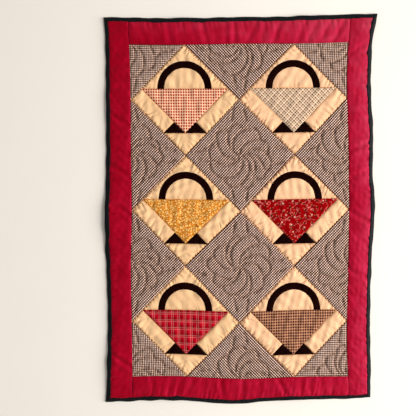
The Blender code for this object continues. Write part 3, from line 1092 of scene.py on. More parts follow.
@dataclass
class QuiltPiece:
    """One cut piece of the quilt, and the steps that every one goes through.

    A draw is what is added to the piece's seed, so that each thing that it leaves to chance differs.
    """

    node: str
    slot: str
    wardrobe: Wardrobe
    seed: int

    @property
    def name(self) -> str:
        """The finished piece's name."""
        return f"{self.node}_cloth"

    def patches(self) -> list[Patch]:
        """The cloths on its face."""
        raise NotImplementedError

    def flat(self) -> bmesh.types.BMesh:
        """The piece's closed slab in cut coordinates, its top at z = 1 and its underside at z = 0."""
        raise NotImplementedError

    def patch_of(self, middles: np.ndarray) -> np.ndarray:
        """Which patch each face of the top belongs to."""
        return np.zeros(len(middles), int)

    def relief(self, places: np.ndarray) -> tuple[np.ndarray, np.ndarray]:
        """How thick the quilt is at cut places, and how full there, from 0 to 1."""
        raise NotImplementedError

    def flat_size(self) -> tuple[Pair, float]:
        """The finished size that the piece was cut for, and its area."""
        raise NotImplementedError

    def raised(self, corners: np.ndarray) -> tuple[np.ndarray, np.ndarray, np.ndarray, np.ndarray]:
        """Raises the slab's top by the piece's relief.

        Args:
            corners: the slab's corners.

        Returns:
            Their cut places, their heights, how full the quilt is there, and which are on the top.
        """
        cut, top = corners[:, :2].copy(), corners[:, 2] > 0.5
        thickness, full = self.relief(cut)
        return cut, np.where(top, thickness, 0), np.where(top, full, 0), top

    def build(self) -> bpy.types.Object:
        """Makes the finished piece, attaches it to the quilt's body, and hides the part that it replaces.

        Returns:
            The piece.
        """
        mesh = mesh_of(self.flat(), self.name)
        cut, height, full, top = self.raised(read(mesh.vertices, "co", 3))
        self.dress(mesh, cut, top)
        lay(mesh, cut, height, full)
        made = placed(self.name, mesh)
        flat, area = self.flat_size()
        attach(made, BODY)
        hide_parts(self.node)
        return made

    def dress(self, mesh: bpy.types.Mesh, cut: np.ndarray, top: np.ndarray) -> None:
        """Gives each face its cloth and each corner its place in that cloth's grain.

        Args:
            mesh: the piece's mesh.
            cut: the cut places of its corners.
            top: which of them are on the top.
        """
        patches = [*self.patches(), Patch(UNDERSIDE)]
        for patch in patches:
            mesh.materials.append(self.wardrobe.material(patch.cloth))
        corners = read(mesh.loops, "vertex_index", 1, np.int32)
        counts = read(mesh.polygons, "loop_total", 1, np.int32)
        face_of = np.repeat(np.arange(len(counts)), counts)
        sums = np.column_stack([np.bincount(face_of, cut[corners, axis]) for axis in (0, 1)])
        shows = np.bincount(face_of, top[corners]) > 0
        index = np.where(shows, self.patch_of(sums / counts[:, None]), len(patches) - 1).astype(np.int32)
        mesh.polygons.foreach_set("material_index", index)
        turns = np.array([patch.turn for patch in patches])[index[face_of]]
        shifts = np.array([patch.shift for patch in patches])[index[face_of]]
        (u, v), cos, sin = cut[corners].T, np.cos(turns), np.sin(turns)
        chart(mesh, np.column_stack([u * cos + v * sin, v * cos - u * sin]) + shifts)


@dataclass(frozen=True)
class SeamLine:
    """One straight side of a piece that lies to the right of it."""

    start: np.ndarray
    end: np.ndarray

    @property
    def length(self) -> float:
        """How long the side is."""
        return float(np.hypot(*(self.end - self.start)))

    def measure(self, places: np.ndarray) -> tuple[np.ndarray, np.ndarray]:
        """Measures places against the side.

        Args:
            places: the cut points.

        Returns:
            How far inside the side each lies, and how far along it.
        """
        over, up = (self.end - self.start) / self.length
        away = places - self.start
        return np.maximum(away @ np.array([up, -over]), 0), away @ np.array([over, up])


@dataclass(frozen=True)
class Puckers:
    """The small pleats that a seam draws up beside it.

    The pairs are the least and the most that a pleat's own place, slant or size is of the usual. Each piece
    has so many draws to itself, one for each seam.
    """

    depth: float = 0.7 * MM
    pitch: float = 15 * MM
    reach: float = 20 * MM
    half_width: float = 3.3 * MM
    start: float = 2 * MM
    places: Pair = (0.05, 0.95)
    slants: Pair = (-0.6, 0.6)
    half_widths: Pair = (0.65, 1.35)
    reaches: Pair = (0.5, 1.4)
    depths: Pair = (0.25, 1.2)
    draws: int = 17


CuttingLine = tuple[Pair, Pair, bool]


@dataclass
class OnPointPiece(QuiltPiece):
    """A square set on its point, whole or trimmed at the field's edge."""

    centre: Pair = (0.0, 0.0)
    cells: int = 120
    weld: float = 0.02 * MM
    pleats: Puckers = Puckers()

    def trims(self) -> list[tuple[int, float]]:
        """Finds where the field's edge cuts the square in half.

        Returns:
            The axis of each such edge, and on which side of the field it is.
        """
        found = []
        for axis in (0, 1):
            if abs(abs(self.centre[axis]) - CUT.half_field[axis]) < MM:
                found.append((axis, math.copysign(1, self.centre[axis])))
        return found

    def sides(self) -> list[SeamLine]:
        """Lists the piece's sides.

        Returns:
            Those of the square that are left, then the field's edges.
        """
        half, centre = CUT.diagonal / 2, np.array(self.centre)
        tips = [centre + half * np.array(way) for way in ((0, 1), (1, 0), (0, -1), (-1, 0))]
        found = [SeamLine(*pair) for pair in zip(tips, tips[1:] + tips[:1])]
        for axis, sign in self.trims():
            found = [side for side in found if sign * (side.start + side.end - 2 * centre)[axis] < 0]
        for axis, sign in self.trims():
            way = half * sign * np.array(((0, -1), (1, 0))[axis])
            found.append(SeamLine(centre - way, centre + way))
        return found

    def from_edge(self, places: np.ndarray) -> np.ndarray:
        """How far inside the nearest side places lie."""
        return np.minimum.reduce([side.measure(places)[0] for side in self.sides()])

    def flat(self) -> bmesh.types.BMesh:
        """Grids the square, cuts it at its level seams and at the field's edge, and closes it.

        Returns:
            The closed slab.
        """
        sheet = bmesh.new()
        size = (CUT.block - CUT.seam_gap) / 2
        bmesh.ops.create_grid(sheet, x_segments=self.cells, y_segments=self.cells, size=size)
        turn = Matrix.Translation((*self.centre, 0)) @ Matrix.Rotation(math.radians(45), 4, "Z")
        bmesh.ops.transform(sheet, matrix=turn, verts=sheet.verts[:])
        for point, normal, trims in self.cutting_lines():
            geom = sheet.verts[:] + sheet.edges[:] + sheet.faces[:]
            bmesh.ops.bisect_plane(
                sheet, geom=geom, dist=self.weld, plane_co=(*point, 0), plane_no=(*normal, 0),
                clear_outer=trims,
            )
        close_below(sheet, whole=False)
        return sheet

    def cutting_lines(self) -> list[CuttingLine]:
        """Lists the lines that cut the grid at the field's edge.

        Returns:
            A point on each, the direction across it, and whether what lies beyond goes.
        """
        lines = []
        for axis, sign in self.trims():
            point, normal = list(self.centre), [0.0, 0.0]
            point[axis] -= sign * CUT.seam_gap / 2
            normal[axis] = sign
            lines.append((tuple(point), tuple(normal), True))
        return lines

    def pleated_lines(self) -> list[tuple[SeamLine, float]]:
        """The seams that draw up small pleats beside them, and how strongly."""
        return [(side, 1.0) for side in self.sides()]

    def puckers(self, places: np.ndarray) -> np.ndarray:
        """How the small pleats beside the seams raise the cloth, each slanting its own way.

        Args:
            places: the cut points.

        Returns:
            How far each is raised.
        """
        pleats, raised = self.pleats, np.zeros(len(places))
        for index, (side, strength) in enumerate(self.pleated_lines()):
            chance = np.random.default_rng(self.seed * pleats.draws + index)
            inside, along = side.measure(places)
            leaving = fullness(inside, pleats.start)
            for number in range(round(side.length / pleats.pitch)):
                middle = (number + chance.uniform(*pleats.places)) * pleats.pitch
                slant = chance.uniform(*pleats.slants)
                half_width = pleats.half_width * chance.uniform(*pleats.half_widths)
                reach = pleats.reach * chance.uniform(*pleats.reaches)
                depth = strength * pleats.depth * chance.uniform(*pleats.depths)
                off = (along - middle - slant * inside) / half_width
                raised -= depth * pleat(off) * leaving * np.exp(-((inside / reach) ** 2)) * (inside > 0)
        return raised

    def flat_size(self) -> tuple[Pair, float]:
        """The finished size, halved for each trim.

        Returns:
            The width and length, and the area.
        """
        if not self.trims():
            return (CUT.block, CUT.block), CUT.block**2
        width, length = CUT.diagonal, CUT.diagonal / 2
        if len(self.trims()) == 2:
            width = length
        return (width, length), width * length / 2


@dataclass(frozen=True)
class Whirl:
    """The quilting motif of the setting pieces: swirled spokes in a ring of scallops, sewn by eye.

    The pairs are the least and the most of what differs from line to line.
    """

    spokes: int = 10
    first: float = math.radians(117)
    angle_slips: Pair = (-0.22, 0.22)
    inner: float = 5 * MM
    short_by: Pair = (8, 20)
    outer: float = 72 * MM
    outer_slips: Pair = (-9, 7)
    turn: float = math.radians(-72)
    turns: Pair = (0.7, 1.3)
    bulge: float = 12 * MM
    bulges: Pair = (0.6, 1.3)
    scallop_points: int = 10
    tips: int = 4
    tip_points: int = 8
    tip_reach: Pair = (92 * MM, 118 * MM)
    tip_slips: Pair = (-8, 4)
    tip_spread: float = math.radians(9)
    tip_closing: Pair = (1.3, 0.8)
    tip_turns: Pair = (-0.05, 0.05)
    point_step: float = 4 * MM

    def lines(self, seed: int) -> StitchedLines:
        """Draws the spokes, the scallop between each two spoke ends, and a pair of short lines at each tip.

        Args:
            seed: names the piece, so that no two are quite alike.

        Returns:
            The lines, about the motif's middle.
        """
        chance = np.random.default_rng(seed)
        slips = chance.uniform(*self.angle_slips, self.spokes)
        angles = self.first + 2 * math.pi / self.spokes * (np.arange(self.spokes) + slips)
        reaches = self.outer + chance.uniform(*self.outer_slips, self.spokes) * MM
        found = []
        for number, (angle, reach) in enumerate(zip(angles, reaches)):
            inner = self.inner + (number % 2) * chance.uniform(*self.short_by) * MM
            radius = np.linspace(inner, reach, round((reach - inner) / self.point_step) + 1)
            turn = self.turn * chance.uniform(*self.turns)
            found.append(around(radius, angle + turn * (radius / reach - 1)))
        share = np.linspace(0, 1, self.scallop_points)
        for angle, reach, following in zip(angles, reaches, range(1, self.spokes + 1)):
            next_angle = angles[following % self.spokes] + 2 * math.pi * (following // self.spokes)
            radius = reach + (reaches[following % self.spokes] - reach) * share
            radius += self.bulge * chance.uniform(*self.bulges) * np.sin(math.pi * share)
            found.append(around(radius, angle + (next_angle - angle) * share))
        wide, closing = self.tip_closing
        for number in range(2 * self.tips):
            radius = np.linspace(*self.tip_reach, self.tip_points) + chance.uniform(*self.tip_slips) * MM
            lean = self.tip_spread * (1 if number % 2 else -1) * (wide - closing * share[: self.tip_points])
            tip = math.radians(360 / self.tips * (number // 2))
            found.append(around(radius, tip + lean + chance.uniform(*self.tip_turns)))
        return StitchedLines(found)


@dataclass
class SettingPiece(OnPointPiece):
    """A plain piece of the small check, with its share of the whirl quilted on it."""

    whirl: Whirl = Whirl()
    cloth: CheckedCotton = SMALL_CHECK
    grain_turn: float = math.radians(45)
    grain_tilt: float = 0.8
    grain_shift: float = 10 * MM
    cut_draw: int = 500
    line_draw: int = 300
    seam_clear: float = 4 * MM
    stitch_sink: float = 2.9 * MM
    stitch_run: float = 7.5 * MM
    stitch_depth: float = 1.5 * MM
    stitch_half_width: float = 3.3 * MM
    tightness: Pair = (0.85, 0.3)
    tight_pitch: float = 32 * MM
    tight_draw: int = 60
    gather: float = 0.70 * MM
    gather_draw: int = 40
    gather_pitch: float = 10 * MM
    gather_start: float = 2 * MM
    gather_reach: float = 9 * MM
    rumples: tuple[Rumple, ...] = (Rumple(0.45 * MM, 34 * MM, 8, 90), Rumple(0.28 * MM, 13 * MM, 10, 95))

    @cached_property
    def lines(self) -> StitchedLines:
        """The quilting lines about its centre."""
        return self.whirl.lines(self.seed + self.line_draw).moved(self.centre)

    def patches(self) -> list[Patch]:
        """Cuts the piece from the check, its grain a little askew.

        Returns:
            The one patch.
        """
        chance = np.random.default_rng(self.seed + self.cut_draw)
        tilt = math.radians(chance.uniform(-self.grain_tilt, self.grain_tilt))
        return [Patch(self.cloth, self.grain_turn + tilt, tuple(chance.uniform(0, self.grain_shift, 2)))]

    def relief(self, places: np.ndarray) -> tuple[np.ndarray, np.ndarray]:
        """Puffed petals between the stitched lines, drawn down along the piece's seams.

        Args:
            places: the cut points.

        Returns:
            How thick the quilt is there, and how full, from 0 to 1.
        """
        seam = self.from_edge(places)
        stitched, run = self.lines.nearest(places)
        thick, loose = FIELD_LOFT.stood(seam)
        full = fullness(stitched, self.stitch_run)
        usual, uneven = self.tightness
        tight = usual + uneven * Waves(self.seed + self.tight_draw, self.tight_pitch, parts=3).at(run)
        thick -= self.stitch_sink * tight * loose * (1 - full)
        clear = np.minimum(seam / self.seam_clear, 1)
        thick -= self.stitch_depth * tight * clear * pleat(stitched / self.stitch_half_width)
        full = loose * full
        drawn = fullness(stitched, self.gather_start) * np.exp(-stitched / self.gather_reach)
        thick += self.gather * Waves(self.seed + self.gather_draw, self.gather_pitch).at(run) * drawn
        thick += self.puckers(places)
        for rumple in self.rumples:
            thick += full * rumple.over(places, self.seed)
        return thick, full


@dataclass(frozen=True)
class BasketPattern:
    """The pieced basket on its grid of five squares, counted from the block's top corner.

    p counts squares down the block's right side, q down its left side.
    """

    grid: int = 5
    seams: tuple[tuple[int, int, int, int], ...] = (
        # from_p, from_q, to_p, to_q
        (4, 0, 0, 4),
        (4, 0, 4, 4),
        (0, 4, 4, 4),
        (4, 3, 5, 3),
        (3, 4, 3, 5),
        (5, 3, 3, 5),
    )
    rim_sum: int = 4
    foot_sum: int = 8
    strip_from: int = 4
    foot_from: int = 3
    handle_radius: float = 1.55
    handle_width: float = 0.45

    @property
    def unit(self) -> float:
        """One square of the grid."""
        return CUT.block / self.grid

    def place(self, p: float, q: float) -> Pair:
        """A grid point, from the block's centre."""
        step = self.unit / math.sqrt(2)
        return (p - q) * step, CUT.diagonal / 2 - (p + q) * step

    def counts(self, places: np.ndarray) -> tuple[np.ndarray, np.ndarray]:
        """The grid counts p and q of places about the block's centre."""
        step, down = self.unit * math.sqrt(2), CUT.diagonal / 2 - places[:, 1]
        return (down + places[:, 0]) / step, (down - places[:, 0]) / step

    def lines(self) -> StitchedLines:
        """The block's own seams."""
        ends = ((self.place(*seam[:2]), self.place(*seam[2:])) for seam in self.seams)
        return StitchedLines([np.array(pair) for pair in ends])

    def middle(self, total: int) -> Pair:
        """The middle of the level line on which p and q have that sum."""
        return self.place(total / 2, total / 2)


class BasketPatch(Enum):
    """The kinds of patch in a block, in the order of their materials."""

    GROUND = 0
    BASKET = 1
    FOOT = 2
    LEFT_STRIP = 3
    RIGHT_STRIP = 4


@dataclass
class BasketBlock(OnPointPiece):
    """A pieced block: a print basket on black feet, on a peach ground."""

    cells: int = 160
    pleats: Puckers = Puckers(depth=1.5 * MM, pitch=12 * MM, reach=17 * MM)
    seam_pleats: float = 0.35
    ground: Cotton = PEACH
    print_cloth: Cotton = PEACH
    print_turn: float = 0.0
    print_shift: Pair = (0.013, 0.007)
    strip_shift: Pair = (0.05, 0.02)
    pattern: BasketPattern = BasketPattern()
    inset: float = 1.7 * MM
    inset_depth: float = 3.1 * MM
    inset_half_width: float = 1.8 * MM
    inset_pitch: float = 8.6 * MM
    inset_slip: float = 1.6 * MM
    inset_slip_pitch: float = 30 * MM
    inset_slip_draw: int = 70
    inset_sharpness: float = 2.5
    # How much painted shade darkens the big stitches' notches, through the fullness
    inset_painted_shade: float = 0.6
    handle_sink: float = 0.8 * MM
    handle_sink_run: float = 3 * MM
    rumple: Rumple = Rumple(1.1 * MM, 28 * MM, 8, 90)

    @cached_property
    def seams(self) -> StitchedLines:
        """The block's own seams about its centre."""
        return self.pattern.lines().moved(self.centre)

    def pleated_lines(self) -> list[tuple[SeamLine, float]]:
        """The block's sides, and more weakly one side of each seam in it."""
        own = [(SeamLine(line[0], line[-1]), self.seam_pleats) for line in self.seams.lines]
        return super().pleated_lines() + own

    def inset_stitches(self, distance: np.ndarray, along: np.ndarray) -> np.ndarray:
        """How far the big stitches just inside a seam draw the cloth down, from 0 to 1.

        Args:
            distance: how far each place is from the seam.
            along: how far along the seam it is.

        Returns:
            The share of the stitches' depth at each place.
        """
        slips = Waves(self.seed + self.inset_slip_draw, self.inset_slip_pitch, parts=3).at(along)
        beads = 0.5 + 0.5 * np.sin(2 * math.pi * (along + self.inset_slip * slips) / self.inset_pitch)
        near = np.exp(-(((distance - self.inset) / self.inset_half_width) ** 2))
        return beads**self.inset_sharpness * near

    def patches(self) -> list[Patch]:
        """Cuts the block's cloths.

        Returns:
            The ground, the basket, the feet and the two strips beside them.
        """
        side = math.radians(45)
        return [
            Patch(self.ground, side),
            Patch(self.print_cloth, self.print_turn, tuple(shift * self.seed for shift in self.print_shift)),
            Patch(BLACK),
            Patch(self.ground, side, self.strip_shift),
            Patch(self.ground, -side, self.strip_shift[::-1]),
        ]

    def cutting_lines(self) -> list[CuttingLine]:
        """Adds the basket's rim and the foot of the block, which run across the grid's cells.

        Returns:
            The lines, as in the plain piece.
        """
        lines = super().cutting_lines()
        for total in (self.pattern.rim_sum, self.pattern.foot_sum):
            over, up = self.pattern.middle(total)
            lines.append(((self.centre[0] + over, self.centre[1] + up), (0.0, 1.0), False))
        return lines

    def patch_of(self, middles: np.ndarray) -> np.ndarray:
        """Finds which patch each face of the top belongs to.

        Args:
            middles: the cut places of the faces' middles.

        Returns:
            The number of each face's patch.
        """
        p, q = self.pattern.counts(middles - np.array(self.centre))
        beyond = np.maximum(p, q) > self.pattern.strip_from
        foot = beyond & (np.minimum(p, q) > self.pattern.foot_from) & (p + q < self.pattern.foot_sum)
        strip = beyond & (np.minimum(p, q) < self.pattern.foot_from)
        found = np.full(len(middles), BasketPatch.GROUND.value)
        found[~beyond & (p + q > self.pattern.rim_sum)] = BasketPatch.BASKET.value
        found[foot] = BasketPatch.FOOT.value
        found[strip & (p > q)] = BasketPatch.RIGHT_STRIP.value
        found[strip & (p < q)] = BasketPatch.LEFT_STRIP.value
        return found

    def from_handle(self, places: np.ndarray) -> np.ndarray:
        """Measures places against the handle.

        Args:
            places: the cut points.

        Returns:
            How far each is from the handle's nearest edge.
        """
        away = places - (np.array(self.centre) + np.array(self.pattern.middle(self.pattern.rim_sum)))
        off_line = np.abs(np.hypot(*away.T) / self.pattern.unit - self.pattern.handle_radius)
        off = np.abs(off_line - self.pattern.handle_width / 2) * self.pattern.unit
        return np.where(away[:, 1] > 0, off, np.inf)

    def relief(self, places: np.ndarray) -> tuple[np.ndarray, np.ndarray]:
        """Puffed patches, drawn down along every seam and a little beside the handle.

        Args:
            places: the cut points.

        Returns:
            How thick the quilt is there, and how full, from 0 to 1 and less in a stitch, where the lower
            fullness paints shade.
        """
        thick, full = FIELD_LOFT.stood(np.minimum(self.from_edge(places), self.seams.nearest(places)[0]))
        thick -= self.handle_sink * full * np.exp(-self.from_handle(places) / self.handle_sink_run)
        drawn = np.maximum.reduce([self.inset_stitches(*side.measure(places)) for side in self.sides()])
        drawn *= ~np.isin(self.patch_of(places), (BasketPatch.BASKET.value, BasketPatch.FOOT.value))
        thick -= self.inset_depth * drawn
        thick += self.puckers(places)
        thick += full * self.rumple.over(places, self.seed)
        # The fullness is lowered in the stitches to paint shade there
        return thick, full * (1 - drawn) - self.inset_painted_shade * drawn


@dataclass
class BasketHandle:
    """The black strip sewn on a block's ground as the basket's handle."""

    block: BasketBlock
    height: float = 1.1 * MM
    edge: float = 0.25
    squareness: float = 4
    tuck: float = 0.4 * MM
    sunk: float = 0.5 * MM
    wobble: float = 0.12 * MM
    wobble_pitch: float = 12 * MM
    wobble_draw: int = 7
    points: int = 15
    steps: int = 96

    @property
    def radius(self) -> float:
        """From the middle of the rim to the middle of the strip."""
        return self.block.pattern.handle_radius * self.block.pattern.unit

    @property
    def half(self) -> float:
        """Half of the strip's width."""
        return self.block.pattern.handle_width * self.block.pattern.unit / 2

    def strip(self) -> bmesh.types.BMesh:
        """Spins the folded strip's section round the middle of the rim.

        Returns:
            The closed strip, its heights as shares of the whole.
        """
        strip = bmesh.new()
        section = []
        for share in np.linspace(-1, 1, self.points):
            rounded = (1 - abs(share) ** self.squareness) ** 0.5
            height = self.edge + (1 - self.edge) * rounded
            section.append(strip.verts.new((self.radius + self.half * share, 0, height)))
        for share in (1, -1):
            section.append(strip.verts.new((self.radius + (self.half - self.tuck) * share, 0, 0)))
        face = strip.faces.new(section)
        bmesh.ops.spin(
            strip, geom=[*section, *face.edges, face], cent=(0, 0, 0), axis=(0, 0, 1),
            angle=math.pi, steps=self.steps, use_merge=False,
        )
        bmesh.ops.recalc_face_normals(strip, faces=strip.faces[:])
        return strip

    def build(self) -> bpy.types.Object:
        """Lays the strip on the block's ground, its underside a little sunk.

        Returns:
            The handle.
        """
        block, pattern = self.block, self.block.pattern
        mesh = mesh_of(self.strip(), block.node.replace("block", "handle"))
        corners = read(mesh.vertices, "co", 3)
        cut = corners[:, :2] + np.array(block.centre) + np.array(pattern.middle(pattern.rim_sum))
        ground, _full = block.relief(cut)
        waves = Waves(block.seed + self.wobble_draw, self.wobble_pitch)
        wobble = waves.at(corners[:, 0] + corners[:, 1]) * self.wobble
        top = corners[:, 2]
        height = ground + top * (self.height + wobble) - (1 - np.minimum(top / self.edge, 1)) * self.sunk
        mesh.materials.append(block.wardrobe.material(BLACK))
        chart(mesh, cut[read(mesh.loops, "vertex_index", 1, np.int32)])
        lay(mesh, cut, height, np.clip(top, 0, 1))
        made = placed(mesh.name, mesh)
        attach(made, BODY)
        flat = (2 * self.half, math.pi * self.radius)
        return made


# The troughs across each border, in millimetres from the quilt's middle along its side: each one's place
# at the field, its place at the binding, and its depth
BORDER_CREASES: dict[Side, tuple[tuple[float, float, float], ...]] = {
    Side.TOP: (
        (-245, -266, 1.1), (-181, -187, 1.7), (-110, -123, 0.9), (-84, -94, 1.9), (-31, -39, 1.2),
        (-9, -16, 2.2), (22, 43, 1.3), (54, 72, 1.0), (88, 112, 2.3), (152, 175, 1.5), (182, 205, 1.3),
        (215, 236, 1.5), (247, 273, 1.7),
    ),
    Side.BOTTOM: (
        (-237, -237, 1.3), (-187, -192, 1.3), (-158, -166, 1.0), (-123, -142, 1.6), (-92, -102, 1.0),
        (-49, -52, 2.0), (7, 1, 2.2), (48, 43, 1.0), (96, 127, 2.3), (165, 162, 1.3), (189, 186, 1.6),
        (218, 210, 1.0), (246, 240, 1.1),
    ),
    Side.LEFT: (
        (376, 376, 1.2), (345, 345, 1.2), (288, 303, 1.5), (218, 252, 2.3), (146, 161, 1.4), (89, 112, 2.0),
        (-12, 14, 2.2), (-97, -77, 1.7), (-247, -237, 1.4), (-408, -369, 2.4),
    ),
    Side.RIGHT: (
        (396, 430, 0.6), (148, 172, 1.3), (78, 104, 1.0), (-7, -33, 2.2), (-154, -178, 1.7),
        (-198, -206, 1.2), (-371, -376, 1.1),
    ),
}

# How washed out each border is, with painted sheen that grows towards the right where the light falls, along
# the field, then along the binding, from its bottom or left end
BORDER_WEAR_AND_SHEEN: dict[Side, tuple[tuple[float, ...], tuple[float, ...]]] = {
    Side.LEFT: ((0.20, 0.32, 0.05), (0.15, 0.20, 0.05)),
    Side.RIGHT: ((0.60, 0.35, 0.80), (0.88, 0.97, 1.1)),
    Side.TOP: ((0.0, 0.55, 0.88), (0.62, 0.90, 1.1)),
    Side.BOTTOM: ((0.30, 0.45, 0.50), (0.40, 0.50, 0.58)),
}


@dataclass
class EdgeStrip(QuiltPiece):
    """A strip along one side of the quilt."""

    side: Side = Side.LEFT
    cloth: Cotton = CRIMSON

    def patches(self) -> list[Patch]:
        """One patch, its grain along the strip."""
        return [Patch(self.cloth, 0.0 if self.side.upright else math.radians(90))]


@dataclass
class Border(EdgeStrip):
    """A crimson strip along one side, creased where it is fuller than the field."""

    cell: float = 2.0 * MM
    crease_half_width: float = 7 * MM
    crease_sway: float = 2.5 * MM
    creasing: float = 0.75
    gathers: tuple[tuple[float, int], ...] = (
        # height, draw: at the field, then at the binding
        (0.25 * MM, 0),
        (0.75 * MM, 60),
    )
    gather_pitch: float = 14 * MM
    gather_start: float = 2 * MM
    gather_reach: float = 16 * MM
    gather_slant: float = 0.2
    arch: float = 1.2 * MM
    rumples: tuple[Rumple, ...] = (Rumple(0.50 * MM, 55 * MM, 9, 90), Rumple(0.26 * MM, 19 * MM, 12, 95))

    @property
    def half_long(self) -> float:
        """Half of the strip's length: the upright ones run the whole height of the top."""
        return CUT.half_field[1] + CUT.border if self.side.upright else CUT.half_field[0]

    def flat(self) -> bmesh.types.BMesh:
        """Grids the strip and closes it.

        Returns:
            The closed slab.
        """
        sheet = bmesh.new()
        wide, long = CUT.border - CUT.seam_gap, 2 * self.half_long - CUT.seam_gap
        size = (wide, long) if self.side.upright else (long, wide)
        columns, rows = (round(part / self.cell) for part in size)
        bmesh.ops.create_grid(sheet, x_segments=columns, y_segments=rows, size=0.5)
        bmesh.ops.scale(sheet, verts=sheet.verts[:], vec=(*size, 1))
        middle = [way * (half + CUT.border / 2) for way, half in zip(self.side.value, CUT.half_field)]
        bmesh.ops.translate(sheet, verts=sheet.verts[:], vec=(*middle, 0))
        close_below(sheet, whole=True)
        return sheet

    def relief(self, places: np.ndarray) -> tuple[np.ndarray, np.ndarray]:
        """A soft roll, drawn down along its seams, crossed by creases and gathered along its edges.

        Args:
            places: the cut points.

        Returns:
            How thick the quilt is there, and how full, from 0 to 1.
        """
        along, out = self.side.split(places)
        seam = np.maximum(0, np.minimum.reduce([out, CUT.border - out, self.half_long - np.abs(along)]))
        thick, full = BORDER_LOFT.stood(seam)
        share = np.clip(out / CUT.border, 0, 1)
        thick += self.arch * np.sin(math.pi * share)
        for index, (at_field, at_binding, depth) in enumerate(BORDER_CREASES[self.side]):
            place = (at_field + (at_binding - at_field) * share) * MM
            place += self.crease_sway * np.sin(math.pi * share + index)
            off = (along - place) / self.crease_half_width
            thick -= self.creasing * depth * MM * full * pleat(off)
        for edge, (height, draw) in zip((out, CUT.border - out), self.gathers):
            near = fullness(edge, self.gather_start) * np.exp(-edge / self.gather_reach)
            wave = Waves(self.seed + draw, self.gather_pitch).at(along + self.gather_slant * out)
            thick += height * near * creased(wave)
        for rumple in self.rumples:
            thick += full * rumple.over(places, self.seed)
        return thick, full

    def dress(self, mesh: bpy.types.Mesh, cut: np.ndarray, top: np.ndarray) -> None:
        """Also stores how washed out the strip is at each corner, with painted sheen that grows towards the
        right.

        Args:
            mesh: the piece's mesh.
            cut: the cut places of its corners.
            top: which of them are on the top.
        """
        super().dress(mesh, cut, top)
        along, out = self.side.split(cut)
        ends = (-self.half_long, self.half_long)
        inner, outer = (np.interp(along, np.linspace(*ends, len(row)), row) for row in BORDER_WEAR_AND_SHEEN[self.side])
        # Wear and painted sheen, which grows towards the right where the light falls
        store(mesh, "WearAndSheen", inner + (outer - inner) * np.clip(out / CUT.border, 0, 1))

    def flat_size(self) -> tuple[Pair, float]:
        """The strip's finished width and length, and its area."""
        return (CUT.border, 2 * self.half_long), CUT.border * 2 * self.half_long


@dataclass
class Binding(EdgeStrip):
    """A folded strip that wraps one edge, mitred at the corners."""

    cloth: Cotton = BINDING_CLOTH
    thick: float = 7.4 * MM
    step: float = 3 * MM
    section: tuple[Pair, ...] = (
        # share of the binding's width from its inner seam, share of its thickness
        (0.00, 0.00),
        (0.00, 0.94),
        (0.08, 1.00),
        (0.22, 0.99),
        (0.42, 0.89),
        (0.62, 0.73),
        (0.82, 0.53),
        (0.95, 0.35),
        (1.00, 0.19),
        (0.97, 0.07),
        (0.85, 0.00),
    )
    overhang: float = 1.2 * MM
    ripple: float = 0.35 * MM
    ripple_pitch: float = 17 * MM
    waver: Pair = (1.1 * MM, 0.7 * MM)
    waver_pitch: float = 65 * MM
    waver_draws: tuple[int, int] = (3, 5)
    lap: float = 1.2
    corner_clear: float = 12 * MM
    mitred: float = 0.95

    @property
    def half_long(self) -> float:
        """Half of the seam that the strip is sewn along."""
        return CUT.half_field[1 if self.side.upright else 0] + CUT.border

    def flat(self) -> bmesh.types.BMesh:
        """Draws the folded section out along the edge.

        Returns:
            The closed strip, in shares of its width, length and thickness.
        """
        steps = round(2 * self.half_long / self.step)
        strip = bmesh.new()
        ring = strip.faces.new([strip.verts.new((wide, 0, thick)) for wide, thick in self.section])
        for _step in range(steps):
            drawn = bmesh.ops.extrude_face_region(strip, geom=[ring])["geom"]
            ring = next(item for item in drawn if isinstance(item, bmesh.types.BMFace))
            bmesh.ops.translate(strip, verts=ring.verts[:], vec=(0, 1 / steps, 0))
        bmesh.ops.recalc_face_normals(strip, faces=strip.faces[:])
        return strip

    def raised(self, corners: np.ndarray) -> tuple[np.ndarray, np.ndarray, np.ndarray, np.ndarray]:
        """Wraps the strip round its edge: it wavers, ripples, and laps over the border away from corners.

        Args:
            corners: the strip's corners, in shares.

        Returns:
            Their cut places, their heights, how full the strip is there, and that all of them show.
        """
        wide, share, thick = corners.T
        out = CUT.seam_gap / 2 + (CUT.binding + self.overhang - CUT.seam_gap / 2) * wide
        along = (2 * share - 1) * (self.half_long + out - CUT.seam_gap)
        ends = np.clip((self.half_long - np.abs(along)) / self.corner_clear, 0, 1)
        inner, outer = (Waves(self.seed + draw, self.waver_pitch).at(along) for draw in self.waver_draws)
        out -= ends * (1 - wide) * (thick > 0.5) * self.waver[0] * (inner + self.lap)
        out += ends * wide * self.waver[1] * outer
        cut = self.side.cut_place(along, CUT.border + out)
        roll = 1 + self.ripple / self.thick * Waves(self.seed, self.ripple_pitch).at(along)
        return cut, self.thick * thick * roll, thick, np.ones(len(cut), bool)

    def flat_size(self) -> tuple[Pair, float]:
        """The strip over both faces with the seam allowance that stands along its seam, and its length."""
        width, length = 2 * CUT.binding + CUT.seam_allowance, 2 * (self.half_long + CUT.binding)
        return (width, length), width * length * self.mitred


